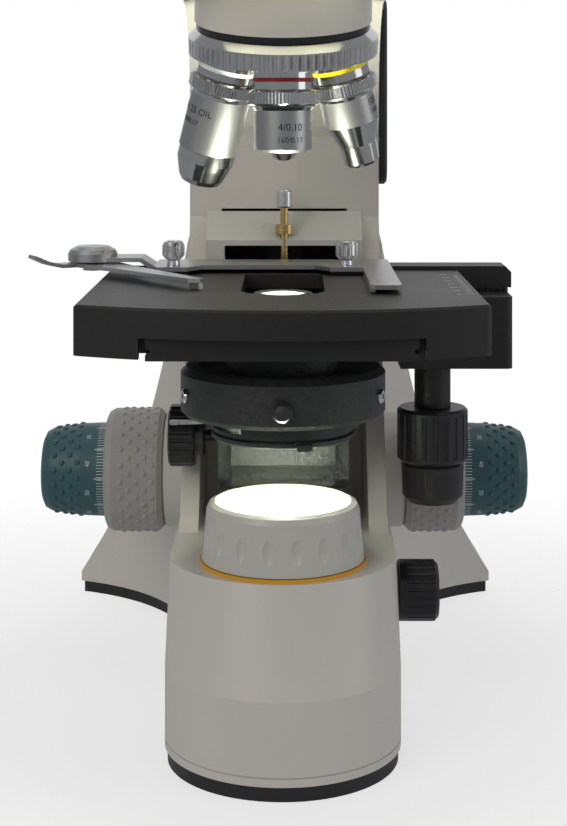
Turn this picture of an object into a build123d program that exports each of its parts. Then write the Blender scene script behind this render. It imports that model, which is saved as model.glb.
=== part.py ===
from build123d import *
import os
from math import acos, asin, atan2, cos, degrees, pi, radians, sin, sqrt, tan

os.makedirs("parts", exist_ok=True)

# A binocular laboratory microscope. Millimetres. The optical axis is Z and meets the table at
# the origin. The user sits on the -Y side, where the lamp end of the base is, and X points to
# the user's right.

# Clearances
running_gap = 0.3        # between faces of pieces that move past each other
shaft_gap = 0.05         # radial play of a shaft in its bore
seat_gap = 0.05          # play of a piece that is fixed in its seat

# Base and pillar
cover_thickness = 4.8
cover_inset = 0.9
front_radius = 39.2      # rounded lamp end, seen from above
slope_z = 31.0           # soft edge where the lamp end starts to slope
seat_z = 64.5            # flat seat of the lamp ring
seat_half = 38.2
seat_shift = 9.7         # the rounded front lies this much further back at the seat
groove_z = 7.3
groove_depth = 0.5
wall = 5.0
pillar_half = 37.0
pillar_front = 100.0
pillar_back = 150.0
pillar_top = 203.0
pillar_corner = 1.5
column_z = 118.0         # joint between base and pillar, behind the stage
cheek_foot = 36.0        # the two cheeks start here behind the lamp ring
cheek_mid = (70.5, 115.0)
cheek_end = (97.0, 165.0)
channel_half = 30.3      # free width between the cheeks
channel_back = 92.0
wing_half = 90.0         # rear feet
wing_y = 185.0
wing_back = 198.0
wing_edge_z = 9.0
waist_y = 118.0
waist_point = (51.0, 153.0)

# Focus drive inside the pillar
shaft_y = 100.0
shaft_z = 73.0
cavity_half = 24.5
cavity_back = 138.0
cavity_floor = 38.0
cavity_top = 175.0
hub_bore = 8.0
hub_radius = 22.0
hub_face = 46.2
tube_radius = 5.0        # coarse drive tube
fine_shaft_radius = 3.0
coarse_radius = 23.5
coarse_inner = 46.5
coarse_outer = 69.0
fine_radius = 18.0
fine_tip_radius = 15.6
fine_outer = coarse_outer + 25.0
rack_module = 0.75
pinion_teeth = 16
pinion_half = 8.0
lift_up = 26.0           # stage travel from the lowered height it is built at

# Carriage cover and stage bracket
cover_half = 30.0
cover_front = 88.0
cover_slope_z = 163.6
cover_top_z = 174.0
window_half = 23.0
window_low = 120.5
window_top = 161.5
bracket_half = 20.0
bracket_low = 124.0
bracket_top = 135.0
carriage_half = 22.0
carriage_front = 109.5
carriage_back = 117.5
carriage_low = 42.0
carriage_top = 147.0
rack_teeth = 16
rack_shift = 5           # the rack reaches this many teeth further down than up
rail_half = 7.0
rail_depth = 4.0
stop_y = 89.5
stop_seat = 166.0
stop_top = stop_seat + 17.0

# Stage
stage_z = 154.5          # top surface
stage_half = 65.0
stage_front = -39.0
stage_bow = 15.0
stage_back = 83.0
stage_depth = 15.8
stage_plate = 5.0
skirt = 4.0
slot_radius = 14.0
slot_back = 49.0
lower_half = 42.0
lower_low = 138.0
lower_top = 143.6
lower_front = -46.0
lower_back = 82.0
lip_top = 145.0
aperture_radius = 30.0
way_width = 3.7          # hanging guide rails on both sides of the lower plate
way_height = lower_low + 3.0

# Stage drive and slide holder
drive_x = 54.4
drive_y = 56.0
drive_module = 0.7
drive_teeth = 20
drive_tube_radius = 6.6
block_low = 121.0
block_top = 146.8
block_front = 45.0
block_back = 62.0
block_left = 42.0
block_right = 82.5
y_knob_radius = 12.9
y_knob_low = 86.0
y_knob_top = 105.5
x_knob_radius = 11.4
x_knob_low = 71.2
bar_front = 65.5
bar_back = 79.6
bar_low = 148.0
x_rack_low = 144.4
x_rack_back = 68.0
bar_top = 155.9
bar_left = -50.0
bar_right = 84.5
holder_thickness = 1.5
holder_front = 54.0
holder_back = 76.0
ear_front = 46.0
screw_left_x = -40.4
screw_right_x = 23.0
screw_y = 56.0
jaw_left = 28.6
jaw_right = 39.0
jaw_front = -11.0
finger_x = -70.0
finger_y = 57.0
finger_tip = (-27.6, -1.0)
finger_thickness = 1.3
dome_radius = 9.0

# Lamp
ring_low_radius = 27.0
ring_top_radius = 25.5
ring_top = 84.8
lens_radius = 22.6
trim_radius = 27.6
trim_height = 1.2
dimmer_y = 30.0
dimmer_z = 46.0
dimmer_radius = 10.5
dimmer_face = 54.0

# Condenser
holder_ring_radius = 34.0
holder_ring_low = 114.0
holder_ring_top = 130.0
condenser_radius = 23.8
condenser_low = 106.2
condenser_top = 153.8
condenser_neck = 12.5
top_flange_radius = 10.0
guide_half = 23.0
guide_front = 30.0
guide_back = 52.0
slide_half = 18.2
slide_back = 35.0
slide_low = 82.5
height_y = 41.0
height_z = 98.0
height_module = 0.6
height_teeth = 14
height_knob_radius = 10.9
filter_pivot = (22.0, 15.0)
filter_pin_radius = 1.5

# Nosepiece and objectives
tilt = 14.0              # lean of the turret axis, and splay of each objective
seat_circle = 18.5       # from the turret axis to the middle of an objective seat
shoulder_z = 226.8       # seat of the working objective
turret_radius = 32.4
knurl_low = 3.5          # heights along the turret axis, from the seat circle
knurl_top = 9.3
turret_top = 11.8
mount_top = 14.5
mount_radius = 29.8
thread_radius = 10.16    # standard objective thread
pivot_radius = 5.0
magnifications = {"4x": 26.4, "10x": 37.5, "40x": 44.3, "100x": 44.8}

# Upper arm
arm_top = 276.0
arm_low = 254.0
nose_radius = 33.0
barrel_radius = 30.3
path_radius = 9.0
head_socket = 22.0       # bore in the arm that takes the spigot of the head
lock_z = 273.0

# Head
tube_incline = 30.0
head_gap = 0.4
ring_seat_radius = 30.0
ring_seat_height = 7.0
head_half = 34.0
hinge_y = -31.0          # middle of the hinge face of the two eyepiece arms
hinge_z = 323.0
hinge_radius = 38.0      # from the hinge axis to each eyepiece axis
eye_distance = 64.0      # between the eyepieces as built
spindle_radius = 11.0
arm_ring_radius = 19.5
arm_depth = 26.0
eye_boss_radius = 18.0
eye_tube_radius = 14.6
eyepiece_bore = 11.6     # standard 23.2 mm eyepiece
eye_tube_length = 34.0


def save(block, name):
    """Label a finished piece and write it."""
    block.part.label = name
    export_step(block.part, f"parts/{name}.step")


def turned(frame, points, mode=Mode.ADD):
    """Turn an outline of (radius, height) points about the Z axis of a frame."""
    with BuildSketch(Plane(origin=frame.origin, x_dir=frame.x_dir, z_dir=-frame.y_dir)) as outline:
        with BuildLine():
            Polyline(*points, close=True)
        make_face()
    revolve(outline.sketch, axis=Axis(frame.origin, frame.z_dir), mode=mode)


def block_between(low, high, mode=Mode.ADD):
    """A square block from one corner to the opposite one."""
    size = [b - a for a, b in zip(low, high)]
    with BuildSketch(Plane.XY.offset(low[2])) as outline:
        with Locations(((low[0] + high[0]) / 2, (low[1] + high[1]) / 2)):
            Rectangle(size[0], size[1])
    extrude(outline.sketch, amount=size[2], mode=mode)


def side_profile(points, half, mode=Mode.ADD):
    """A straight outline of (y, z) points, as wide as twice the half width."""
    with BuildSketch(Plane.YZ) as outline:
        with BuildLine():
            Polyline(*points, close=True)
        make_face()
    extrude(outline.sketch, amount=half, both=True, mode=mode)


def cross_rod(x_from, x_to, y, z, radius, mode=Mode.ADD):
    """A round rod or bore along X."""
    with BuildSketch(Plane.YZ.offset(x_from)) as outline:
        with Locations((y, z)):
            Circle(radius)
    extrude(outline.sketch, amount=x_to - x_from, mode=mode)


def lamp_end(radius, centre_y, back_y):
    """Half circle towards the user with straight sides running back."""
    with BuildSketch() as outline:
        with BuildLine():
            ThreePointArc((radius, centre_y), (0, centre_y - radius), (-radius, centre_y))
            Polyline((-radius, centre_y), (-radius, back_y), (radius, back_y), (radius, centre_y))
        make_face()
    return outline.sketch


def wing_outline():
    """Both rear feet seen from above."""
    side = front_radius
    corner = 5.0
    with BuildSketch() as outline:
        with BuildLine():
            Line((-side, waist_y), (side, waist_y))
            ThreePointArc((side, waist_y), waist_point, (wing_half, wing_y))
            Line((wing_half, wing_y), (wing_half - corner, wing_back - corner))
            ThreePointArc(
                (wing_half - corner, wing_back - corner), (0, wing_back),
                (corner - wing_half, wing_back - corner),
            )
            Line((corner - wing_half, wing_back - corner), (-wing_half, wing_y))
            ThreePointArc((-wing_half, wing_y), (-waist_point[0], waist_point[1]), (-side, waist_y))
        make_face()
    return outline.sketch


def toothed_circle(teeth, module):
    """Outline of a small pinion with one tooth pointing along X, thinned for free running."""
    pitch_radius = teeth * module / 2
    pitch = pi * module
    root = pitch_radius - 1.05 * module
    tip = pitch_radius + 0.75 * module
    tooth = [(root - 0.3, -0.24), (pitch_radius, -0.17), (tip, -0.09)]
    tooth = [(radius, share * pitch) for radius, share in tooth]
    tooth += [(radius, -side) for radius, side in reversed(tooth)]
    with BuildSketch() as outline:
        Circle(root)
        with PolarLocations(0, teeth):
            Polygon(*tooth, align=None)
    return outline.sketch


def rack_outline(count, module, depth):
    """A rack in its own plane: teeth point along +Y from the pitch line, with a gap at X = 0."""
    pitch = pi * module
    rise = 0.75 * module
    fall = 1.05 * module
    tooth = [(-0.30 * pitch, -fall - 0.1), (-0.30 * pitch, -fall), (-0.10 * pitch, rise)]
    tooth += [(-x, y) for x, y in reversed(tooth)]
    with BuildSketch() as outline:
        with Locations((0, -fall - depth / 2)):
            Rectangle(count * pitch, depth)
        for step in range(count):
            with Locations(((step + 0.5 - count / 2) * pitch, 0)):
                Polygon(*tooth, align=None)
    return outline.sketch


# Base and pillar are drawn as one casting, then parted behind the stage
with BuildPart() as skirt_body:
    with BuildSketch(Plane.XY.offset(cover_thickness)):
        add(wing_outline())
    extrude(amount=pillar_top - cover_thickness)
    # Bell shape from the front
    with BuildSketch(Plane.XZ):
        with BuildLine():
            bell = Spline(
                (wing_half, wing_edge_z), (wing_half - 13, 31), (wing_half - 32, 82),
                (pillar_half + 8, 135), (pillar_half, 168),
            )
            Line(bell @ 1, (pillar_half, pillar_top))
            Line((pillar_half, pillar_top), (0, pillar_top))
            Line((0, pillar_top), (0, 0))
            Line((0, 0), (wing_half, 0))
            Line((wing_half, 0), bell @ 0)
        make_face()
        mirror(about=Plane.YZ)
    extrude(amount=2 * wing_back, both=True, mode=Mode.INTERSECT)
    # The back leans in from the feet to the pillar
    with BuildSketch(Plane.YZ):
        with BuildLine():
            back_curve = Spline(
                (wing_back + 1, wing_edge_z), (wing_back - 14, 33), (wing_back - 33, 82),
                (pillar_back + 5, 130), (pillar_back, 165),
            )
            Line(back_curve @ 1, (pillar_back, pillar_top))
            Line((pillar_back, pillar_top), (0, pillar_top))
            Line((0, pillar_top), (0, 0))
            Line((0, 0), (wing_back + 1, 0))
            Line((wing_back + 1, 0), back_curve @ 0)
        make_face()
    extrude(amount=2 * wing_half, both=True, mode=Mode.INTERSECT)

with BuildPart() as column_body:
    # Cheeks and pillar
    with BuildSketch(Plane.XY.offset(seat_z)):
        with Locations((0, (cheek_foot + pillar_back) / 2)):
            Rectangle(2 * pillar_half, pillar_back - cheek_foot)
    extrude(amount=pillar_top - seat_z)
    rear_corners = column_body.edges().filter_by(Axis.Z).group_by(Axis.Y)[-1]
    fillet(rear_corners, radius=pillar_corner)
    with BuildSketch(Plane.YZ):
        with BuildLine():
            ThreePointArc((cheek_foot, seat_z), cheek_mid, cheek_end)
            Polyline(
                cheek_end, (pillar_front, cheek_end[1] + 7), (pillar_front, pillar_top),
                (pillar_back, pillar_top), (pillar_back, seat_z), (cheek_foot, seat_z),
            )
        make_face()
    extrude(amount=pillar_half, both=True, mode=Mode.INTERSECT)

with BuildPart() as casting:
    # Upright wall of the lamp end
    with BuildSketch(Plane.XY.offset(cover_thickness)):
        add(lamp_end(front_radius, 0, waist_y))
    extrude(amount=slope_z - cover_thickness)
    # Sloping part up to the lamp seat
    with BuildSketch(Plane.XY.offset(slope_z)):
        add(lamp_end(front_radius, 0, waist_y))
    with BuildSketch(Plane.XY.offset(seat_z)):
        add(lamp_end(seat_half, seat_shift, waist_y))
    loft()
    add(skirt_body.part)
    add(column_body.part)
    # Front channel, in which the condenser carrier moves
    block_between((-channel_half, cheek_foot - 5, seat_z), (channel_half, channel_back, 190), Mode.SUBTRACT)
    # Room for the focus drive and its guide
    block_between(
        (-cavity_half, channel_back - 1, cavity_floor), (cavity_half, cavity_back, cavity_top),
        Mode.SUBTRACT,
    )
    # Bores and flat seats of the two focus hubs
    cross_rod(-hub_face, hub_face, shaft_y, shaft_z, hub_bore, Mode.SUBTRACT)
    for side in (-1, 1):
        cross_rod(
            side * pillar_half, side * (pillar_half + 30), shaft_y, shaft_z,
            hub_radius + seat_gap, Mode.SUBTRACT,
        )

with BuildPart() as base_body:
    add(casting.part)
    split(bisect_by=Plane.XY.offset(column_z), keep=Keep.BOTTOM)
    # Hollow under the lamp end and the back
    with BuildSketch(Plane.XY.offset(cover_thickness)):
        add(lamp_end(front_radius - wall, 0, shaft_y))
    extrude(amount=30 - cover_thickness, mode=Mode.SUBTRACT)
    block_between((-30, shaft_y - 1, cover_thickness), (30, 176, cavity_floor - 6), Mode.SUBTRACT)
    # Lamp well and its wire hole
    turned(Plane.XY, [(0, 36), (24, 36), (24, seat_z), (0, seat_z)], Mode.SUBTRACT)
    turned(Plane.XY, [(0, 29), (6, 29), (6, 37), (0, 37)], Mode.SUBTRACT)
    # Bore of the brightness control
    with BuildSketch(Plane.YZ.offset(20)):
        with Locations((dimmer_y, dimmer_z)):
            Circle(7.0)
    extrude(amount=30, mode=Mode.SUBTRACT)
    # Sockets at the back
    with BuildSketch(Plane.XZ.offset(-170)):
        with Locations((-18, 20)):
            Circle(5.6)
        with Locations((14, 20)):
            Rectangle(13.2, 19.2)
    extrude(amount=-40, mode=Mode.SUBTRACT)
    # Parting groove round the lamp end
    with BuildSketch(Plane.XY.offset(groove_z)):
        add(lamp_end(front_radius + 2, 0, 90))
        with BuildLine():
            inner = front_radius - groove_depth
            ThreePointArc((inner, 0), (0, -inner), (-inner, 0))
            Polyline((-inner, 0), (-inner, 90), (inner, 90), (inner, 0))
        make_face(mode=Mode.SUBTRACT)
    extrude(amount=groove_depth, mode=Mode.SUBTRACT)
save(base_body, "base_body")

with BuildPart() as pillar:
    add(casting.part)
    split(bisect_by=Plane.XY.offset(column_z), keep=Keep.TOP)
save(pillar, "pillar")

with BuildPart() as bottom_cover:
    with BuildSketch(Plane.XY):
        add(lamp_end(front_radius, 0, waist_y))
        add(wing_outline())
        offset(amount=-cover_inset)
    extrude(amount=cover_thickness)
    screw_places = [(0, -26), (-26, 40), (26, 40), (-62, 180), (62, 180), (0, 186)]
    with BuildSketch(Plane.XY):
        with Locations(*screw_places):
            Circle(3.3)
    extrude(amount=2.6, mode=Mode.SUBTRACT)
save(bottom_cover, "bottom_cover")

with BuildPart() as cover_screws:
    with BuildSketch(Plane.XY.offset(0.4)):
        with Locations(*screw_places):
            Circle(3.0)
    extrude(amount=2.2)
    with BuildSketch(Plane.XY.offset(0.4)):
        with Locations(*screw_places):
            Rectangle(4.4, 0.9)
    extrude(amount=0.9, mode=Mode.SUBTRACT)
save(cover_screws, "cover_screws")

# Fixed pieces on the pillar
with BuildPart() as carriage_cover:
    side_profile(
        [
            (cover_front, seat_z), (cover_front, cover_slope_z), (pillar_front, cover_top_z),
            (pillar_front, cover_slope_z + 2), (channel_back, cover_slope_z + 2),
            (channel_back, seat_z),
        ],
        cover_half,
    )
    block_between(
        (-window_half, cover_front - 1, window_low), (window_half, pillar_front, window_top),
        Mode.SUBTRACT,
    )
    # Hole of the stop screw
    with BuildSketch(Plane.XY.offset(window_top - 5)):
        with Locations((0, stop_y)):
            Circle(1.6)
    extrude(amount=20, mode=Mode.SUBTRACT)
    turned(
        Plane(origin=(0, stop_y, stop_seat)), [(0, 0), (3.9, 0), (3.9, 20), (0, 20)], Mode.SUBTRACT
    )
    add(casting.part, mode=Mode.SUBTRACT)
save(carriage_cover, "carriage_cover")

with BuildPart() as guide_rail:
    rail_front = carriage_back - rail_depth + running_gap
    block_between((-rail_half, rail_front, cavity_floor + 6), (rail_half, cavity_back, cavity_top - 1))
    with BuildSketch(Plane.XZ.offset(-rail_front)):
        with Locations(*[(0, cavity_floor + 25 + 35 * step) for step in range(4)]):
            Circle(3.2)
    extrude(amount=-3.5, mode=Mode.SUBTRACT)
save(guide_rail, "guide_rail")

with BuildPart() as focus_hubs:
    for side in (-1, 1):
        frame = Plane(
            origin=(side * pillar_half, shaft_y, shaft_z), x_dir=(0, 1, 0), z_dir=(side, 0, 0)
        )
        depth = pillar_half - cavity_half
        bush = tube_radius + shaft_gap
        spigot = hub_bore - seat_gap
        face = hub_face - pillar_half
        turned(
            frame,
            [
                (bush, -depth), (spigot, -depth), (spigot, 0), (hub_radius, 0),
                (hub_radius, face - 1), (hub_radius - 1, face), (bush, face),
            ],
        )
save(focus_hubs, "focus_hubs")

# Lamp in the front of the base
with BuildPart() as trim_ring:
    turned(
        Plane.XY.offset(seat_z),
        [(24.4, 0), (trim_radius, 0), (trim_radius, trim_height), (24.4, trim_height)],
    )
save(trim_ring, "trim_ring")

lamp_floor = 36.0
with BuildPart() as lamp_board:
    turned(Plane.XY.offset(lamp_floor), [(0, 0), (20, 0), (20, 1.6), (0, 1.6)])
    block_between((-5, -5, lamp_floor + 1.6), (5, 5, lamp_floor + 3.2))
    turned(
        Plane.XY.offset(lamp_floor + 3.2), [(0, 0), (4, 0), (3.4, 1.4), (2, 2.4), (0, 2.8)]
    )
save(lamp_board, "lamp_board")

with BuildPart() as driver_board:
    block_between((-26, 106, 9), (26, 165, 10.6))
    with BuildSketch(Plane.XY.offset(cover_thickness)):
        with Locations((0, 135)):
            with GridLocations(44, 50, 2, 2):
                Circle(2.5)
    extrude(amount=9 - cover_thickness)
    block_between((-22, 110, 10.6), (-4, 130, 24))
    with BuildSketch(Plane.XY.offset(10.6)):
        with Locations((8, 118), (20, 118), (8, 150)):
            Circle(4.5)
    extrude(amount=14)
save(driver_board, "driver_board")

with BuildPart() as lamp_ring:
    ring_low = seat_z + trim_height + running_gap
    spigot_low = seat_z - 6
    lens_seat = ring_top - 5.8
    turned(
        Plane.XY,
        [
            (21, spigot_low), (24 - running_gap, spigot_low), (24 - running_gap, ring_low),
            (ring_low_radius, ring_low), (ring_top_radius, ring_top - 2.6),
            (ring_top_radius - 0.9, ring_top - 0.8), (ring_top_radius - 2.6, ring_top),
            (lens_radius + seat_gap, ring_top), (lens_radius + seat_gap, lens_seat), (21, lens_seat),
        ],
    )
    # Almond shaped finger hollows round the side
    with BuildPart(mode=Mode.PRIVATE) as hollow:
        with BuildSketch(Plane.XZ):
            with BuildLine():
                ThreePointArc((0, -6.6), (2.6, 0), (0, 6.6))
                Line((0, 6.6), (0, -6.6))
            make_face()
        revolve(axis=Axis.Z)
    with Locations((0, 0, ring_low + 8.6)):
        with PolarLocations(ring_low_radius + 0.9, 18):
            add(hollow.part, mode=Mode.SUBTRACT)
save(lamp_ring, "lamp_ring")

with BuildPart() as field_lens:
    turned(
        Plane.XY,
        [
            (0, lens_seat), (lens_radius, lens_seat), (lens_radius, ring_top - 1.2),
            (lens_radius * 0.75, ring_top - 0.4), (lens_radius * 0.4, ring_top + 0.1),
            (0, ring_top + 0.3),
        ],
    )
save(field_lens, "field_lens")

# Brightness control on the right of the base
side_face = front_radius
along_x = Plane(origin=(0, dimmer_y, dimmer_z), x_dir=(0, 1, 0), z_dir=(1, 0, 0))
with BuildPart() as dimmer:
    turned(
        along_x,
        [(3 + shaft_gap, 24), (7 - seat_gap, 24), (7 - seat_gap, 37), (3 + shaft_gap, 37)],
    )
save(dimmer, "dimmer")

with BuildPart() as brightness_knob:
    inner_face = side_face + running_gap
    turned(
        along_x,
        [
            (0, 25), (3, 25), (3, inner_face), (dimmer_radius - 1, inner_face),
            (dimmer_radius, inner_face + 1), (dimmer_radius, dimmer_face - 1.4),
            (dimmer_radius - 1.4, dimmer_face), (0, dimmer_face),
        ],
    )
    with BuildSketch(Plane.YZ.offset(dimmer_face - 11)):
        with Locations((dimmer_y, dimmer_z)):
            with PolarLocations(dimmer_radius + 0.25, 24):
                Circle(0.6)
    extrude(amount=12, mode=Mode.SUBTRACT)
save(brightness_knob, "brightness_knob")

# Sockets at the back of the base
socket_z = 20.0
socket_face = 193.2
with BuildPart() as rear_sockets:
    back = Plane(origin=(-18, 176, socket_z), x_dir=(1, 0, 0), z_dir=(0, 1, 0))
    turned(
        back,
        [
            (3.2, 6), (3.2, socket_face - 176), (5.5, socket_face - 176), (5.5, 0), (0, 0),
            (0, 6),
        ],
    )
    turned(back, [(0, 5), (1, 5), (1, 14), (0, 14)])
    block_between((7.5, 176, socket_z - 9.5), (20.5, 192.6, socket_z + 9.5))
    block_between((9, 182, socket_z - 8), (19, 194, socket_z + 8), Mode.SUBTRACT)
save(rear_sockets, "rear_sockets")

with BuildPart() as power_rocker:
    # Rocks about a pin across the frame
    rocker_y = 187.5
    with BuildSketch(Plane.YZ.offset(9.3)):
        with BuildLine():
            Polyline(
                (rocker_y - 3, socket_z - 3), (rocker_y + 3.2, socket_z - 7.3),
                (rocker_y + 5.6, socket_z - 7.3), (rocker_y + 3.6, socket_z),
                (rocker_y + 3.8, socket_z + 7.3), (rocker_y + 1.4, socket_z + 7.3),
                (rocker_y - 3, socket_z + 3), close=True,
            )
        make_face()
    extrude(amount=9.4)
save(power_rocker, "power_rocker")

# Focus drive
with BuildPart() as coarse_shaft:
    cross_rod(1 - coarse_outer, coarse_outer - 1, shaft_y, shaft_z, tube_radius)
    with BuildSketch(
        Plane(origin=(-pinion_half, shaft_y, shaft_z), x_dir=(0, 1, 0), z_dir=(1, 0, 0))
    ):
        add(toothed_circle(pinion_teeth, rack_module))
    extrude(amount=2 * pinion_half)
    cross_rod(-coarse_outer, coarse_outer, shaft_y, shaft_z, fine_shaft_radius + shaft_gap, Mode.SUBTRACT)
save(coarse_shaft, "coarse_shaft")

with BuildPart() as fine_shaft:
    cross_rod(2 - fine_outer, fine_outer - 2, shaft_y, shaft_z, fine_shaft_radius)
save(fine_shaft, "fine_shaft")

with BuildPart() as coarse_knobs:
    for side in (-1, 1):
        frame = Plane(origin=(0, shaft_y, shaft_z), x_dir=(0, 1, 0), z_dir=(side, 0, 0))
        bore = tube_radius + seat_gap
        turned(
            frame,
            [
                (bore, coarse_inner), (coarse_radius - 2, coarse_inner),
                (coarse_radius, coarse_inner + 2), (coarse_radius, coarse_outer - 3),
                (coarse_radius - 1.2, coarse_outer - 0.8), (coarse_radius - 3, coarse_outer),
                (bore, coarse_outer),
            ],
        )
save(coarse_knobs, "coarse_knobs")

with BuildPart() as fine_knobs:
    for side in (-1, 1):
        frame = Plane(origin=(0, shaft_y, shaft_z), x_dir=(0, 1, 0), z_dir=(side, 0, 0))
        bore = fine_shaft_radius + seat_gap
        fine_inner = coarse_outer + running_gap
        turned(
            frame,
            [
                (bore, fine_inner), (fine_radius, fine_inner), (fine_radius - 0.4, fine_inner + 9),
                (fine_tip_radius + 0.4, fine_outer - 4), (fine_tip_radius - 1, fine_outer - 1.4),
                (fine_tip_radius - 3.4, fine_outer - 0.3), (fine_tip_radius - 6, fine_outer),
                (0, fine_outer), (0, fine_outer - 1.8), (bore, fine_outer - 1.8),
            ],
        )
save(fine_knobs, "fine_knobs")

# Stage carrier, which the focus drive lifts
with BuildPart() as stage_bracket:
    block_between(
        (-carriage_half, carriage_front, carriage_low), (carriage_half, carriage_back, carriage_top)
    )
    block_between((-bracket_half, guide_back, bracket_low), (bracket_half, carriage_front, bracket_top))
    block_between((-bracket_half, guide_back, bracket_top), (bracket_half, lower_back, lower_low))
    groove_half = rail_half + running_gap
    block_between(
        (-groove_half, carriage_back - rail_depth, carriage_low - 1),
        (groove_half, carriage_back + 1, carriage_top + 1), Mode.SUBTRACT,
    )
    # Blind hole above which the stop screw ends
    stop_tip = bracket_low + 4 + lift_up + running_gap
    turned(
        Plane(origin=(0, stop_y, bracket_low + 4)), [(0, 0), (4, 0), (4, 20), (0, 20)], Mode.SUBTRACT
    )
save(stage_bracket, "stage_bracket")

with BuildPart() as stop_screw:
    frame = Plane(origin=(0, stop_y, 0))
    turned(
        frame,
        [
            (0, stop_tip), (1.5, stop_tip), (1.5, stop_top - 7), (2.6, stop_top - 7),
            (3, stop_top - 6.4), (3, stop_top - 0.8), (2.4, stop_top), (0, stop_top),
        ],
    )
    turned(
        frame,
        [(1.5 + seat_gap, stop_seat + 0.1), (3.4, stop_seat + 0.1), (3.4, stop_seat + 3.6),
         (1.5 + seat_gap, stop_seat + 3.6)],
    )
save(stop_screw, "stop_screw")

pinion_radius = pinion_teeth * rack_module / 2
rack_pitch = pi * rack_module
rack_line = shaft_y + pinion_radius
with BuildPart() as focus_rack:
    rack_base = rack_line + 1.05 * rack_module
    middle = shaft_z - rack_shift * rack_pitch
    with BuildSketch(
        Plane(origin=(-7.5, rack_line, middle), x_dir=(0, 0, 1), z_dir=(1, 0, 0))
    ):
        add(rack_outline(rack_teeth, rack_module, carriage_front - rack_base))
    extrude(amount=15)
save(focus_rack, "focus_rack")

drive_radius = drive_teeth * drive_module / 2
drive_pitch = pi * drive_module
with BuildPart() as lower_plate:
    block_between((-lower_half, lower_front, lower_low), (lower_half, lower_back, lower_top))
    block_between((-lower_half, lower_front, lower_top), (lower_half, lower_front + 4, lip_top))
    fillet(lower_plate.edges().filter_by(Axis.Z).group_by(Axis.Y)[-1], radius=3)
    turned(
        Plane.XY.offset(lower_low - 1),
        [(0, 0), (aperture_radius, 0), (aperture_radius, 10), (0, 10)], Mode.SUBTRACT,
    )
    # Side grooves for the hanging guide rails
    for side in (-1, 1):
        with BuildSketch(Plane.XZ.offset(-lower_back - 1)):
            with BuildLine():
                Polyline(
                    (side * (lower_half + 1), way_height - 1.9), (side * (lower_half - 1.5), way_height - 0.2),
                    (side * (lower_half - 1.5), way_height + 0.2), (side * (lower_half + 1), way_height + 1.9),
                    close=True,
                )
            make_face()
        extrude(amount=lower_back + 5 - lower_front - 1, mode=Mode.SUBTRACT)
    # Rack of the front to back drive, under the right edge
    y_rack_line = drive_x - drive_radius
    y_rack_base = y_rack_line - 1.05 * drive_module
    y_rack_low = lower_low - 4.8
    with BuildSketch(
        Plane(
            origin=(y_rack_line, drive_y - 8 * drive_pitch, y_rack_low),
            x_dir=(0, -1, 0), z_dir=(0, 0, 1),
        )
    ):
        add(rack_outline(22, drive_module, y_rack_base - 38))
    extrude(amount=lower_low - y_rack_low)
save(lower_plate, "lower_plate")


def stage_outline():
    """The moving stage plate seen from above, with its bowed front edge."""
    with BuildSketch() as outline:
        with BuildLine():
            ThreePointArc(
                (-stage_half, stage_front), (0, stage_front - stage_bow), (stage_half, stage_front)
            )
            Polyline(
                (stage_half, stage_front), (stage_half, stage_back), (-stage_half, stage_back),
                (-stage_half, stage_front),
            )
        make_face()
    return outline.sketch


stage_low = stage_z - stage_depth
plate_low = stage_z - stage_plate
with BuildPart() as stage_top:
    with BuildSketch(Plane.XY.offset(stage_low)):
        add(stage_outline())
    extrude(amount=stage_depth)
    fillet(stage_top.edges().filter_by(Axis.Z), radius=2.5)
    chamfer(stage_top.faces().sort_by(Axis.Z)[-1].edges().group_by(Axis.Y)[0], length=0.8)
    # Hollow underside, open to the back
    with BuildSketch(Plane.XY.offset(stage_low)):
        add(stage_outline())
        offset(amount=-skirt)
    extrude(amount=x_rack_low - running_gap - stage_low, mode=Mode.SUBTRACT)
    block_between(
        (skirt - stage_half, 40, stage_low), (stage_half - skirt, stage_back + 1, x_rack_low - running_gap),
        Mode.SUBTRACT,
    )
    with BuildSketch(Plane.XY.offset(stage_low)):
        add(stage_outline())
        offset(amount=-skirt)
        with Locations((0, x_rack_back + running_gap + 50)):
            Rectangle(200, 100, mode=Mode.SUBTRACT)
    extrude(amount=plate_low - stage_low, mode=Mode.SUBTRACT)
    # Groove of the side to side bar, and the tunnel of its rack through the right wall
    block_between(
        (-stage_half - 5, bar_front - running_gap, bar_low - running_gap),
        (stage_half + 5, bar_back + running_gap, stage_z + 5), Mode.SUBTRACT,
    )
    block_between(
        (0, block_back + 0.2, x_rack_low - running_gap),
        (stage_half + 5, x_rack_back + running_gap, plate_low), Mode.SUBTRACT,
    )
    # Notch for the drive block
    block_between(
        (stage_half - skirt - 0.1, block_front - seat_gap, stage_low - 1),
        (stage_half + 5, block_back + running_gap, plate_low), Mode.SUBTRACT,
    )
    # Opening in the front wall round the lower plate
    block_between(
        (-lower_half - 2, stage_front - stage_bow - 5, stage_low - 1),
        (lower_half + 2, stage_front + 15, lip_top + running_gap), Mode.SUBTRACT,
    )
    # Slot over the condenser
    with BuildSketch(Plane.XY.offset(plate_low - 1)):
        Circle(slot_radius)
        with Locations((0, slot_back / 2)):
            Rectangle(2 * slot_radius, slot_back)
    extrude(amount=stage_plate + 5, mode=Mode.SUBTRACT)
    # Guide rails hanging down beside the lower plate
    for side in (-1, 1):
        near = side * (lower_half + running_gap)
        far = side * (lower_half + running_gap + way_width)
        with BuildSketch(Plane.XZ.offset(-block_back)):
            with BuildLine():
                Polyline(
                    (near, lower_low + 1), (near, way_height - 1.5), (near - side * 1.4, way_height),
                    (near, way_height + 1.5), (near, plate_low), (far, plate_low),
                    (far, lower_low + 1), close=True,
                )
            make_face()
        extrude(amount=block_back - stage_front - 3)
save(stage_top, "stage_top")

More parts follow.
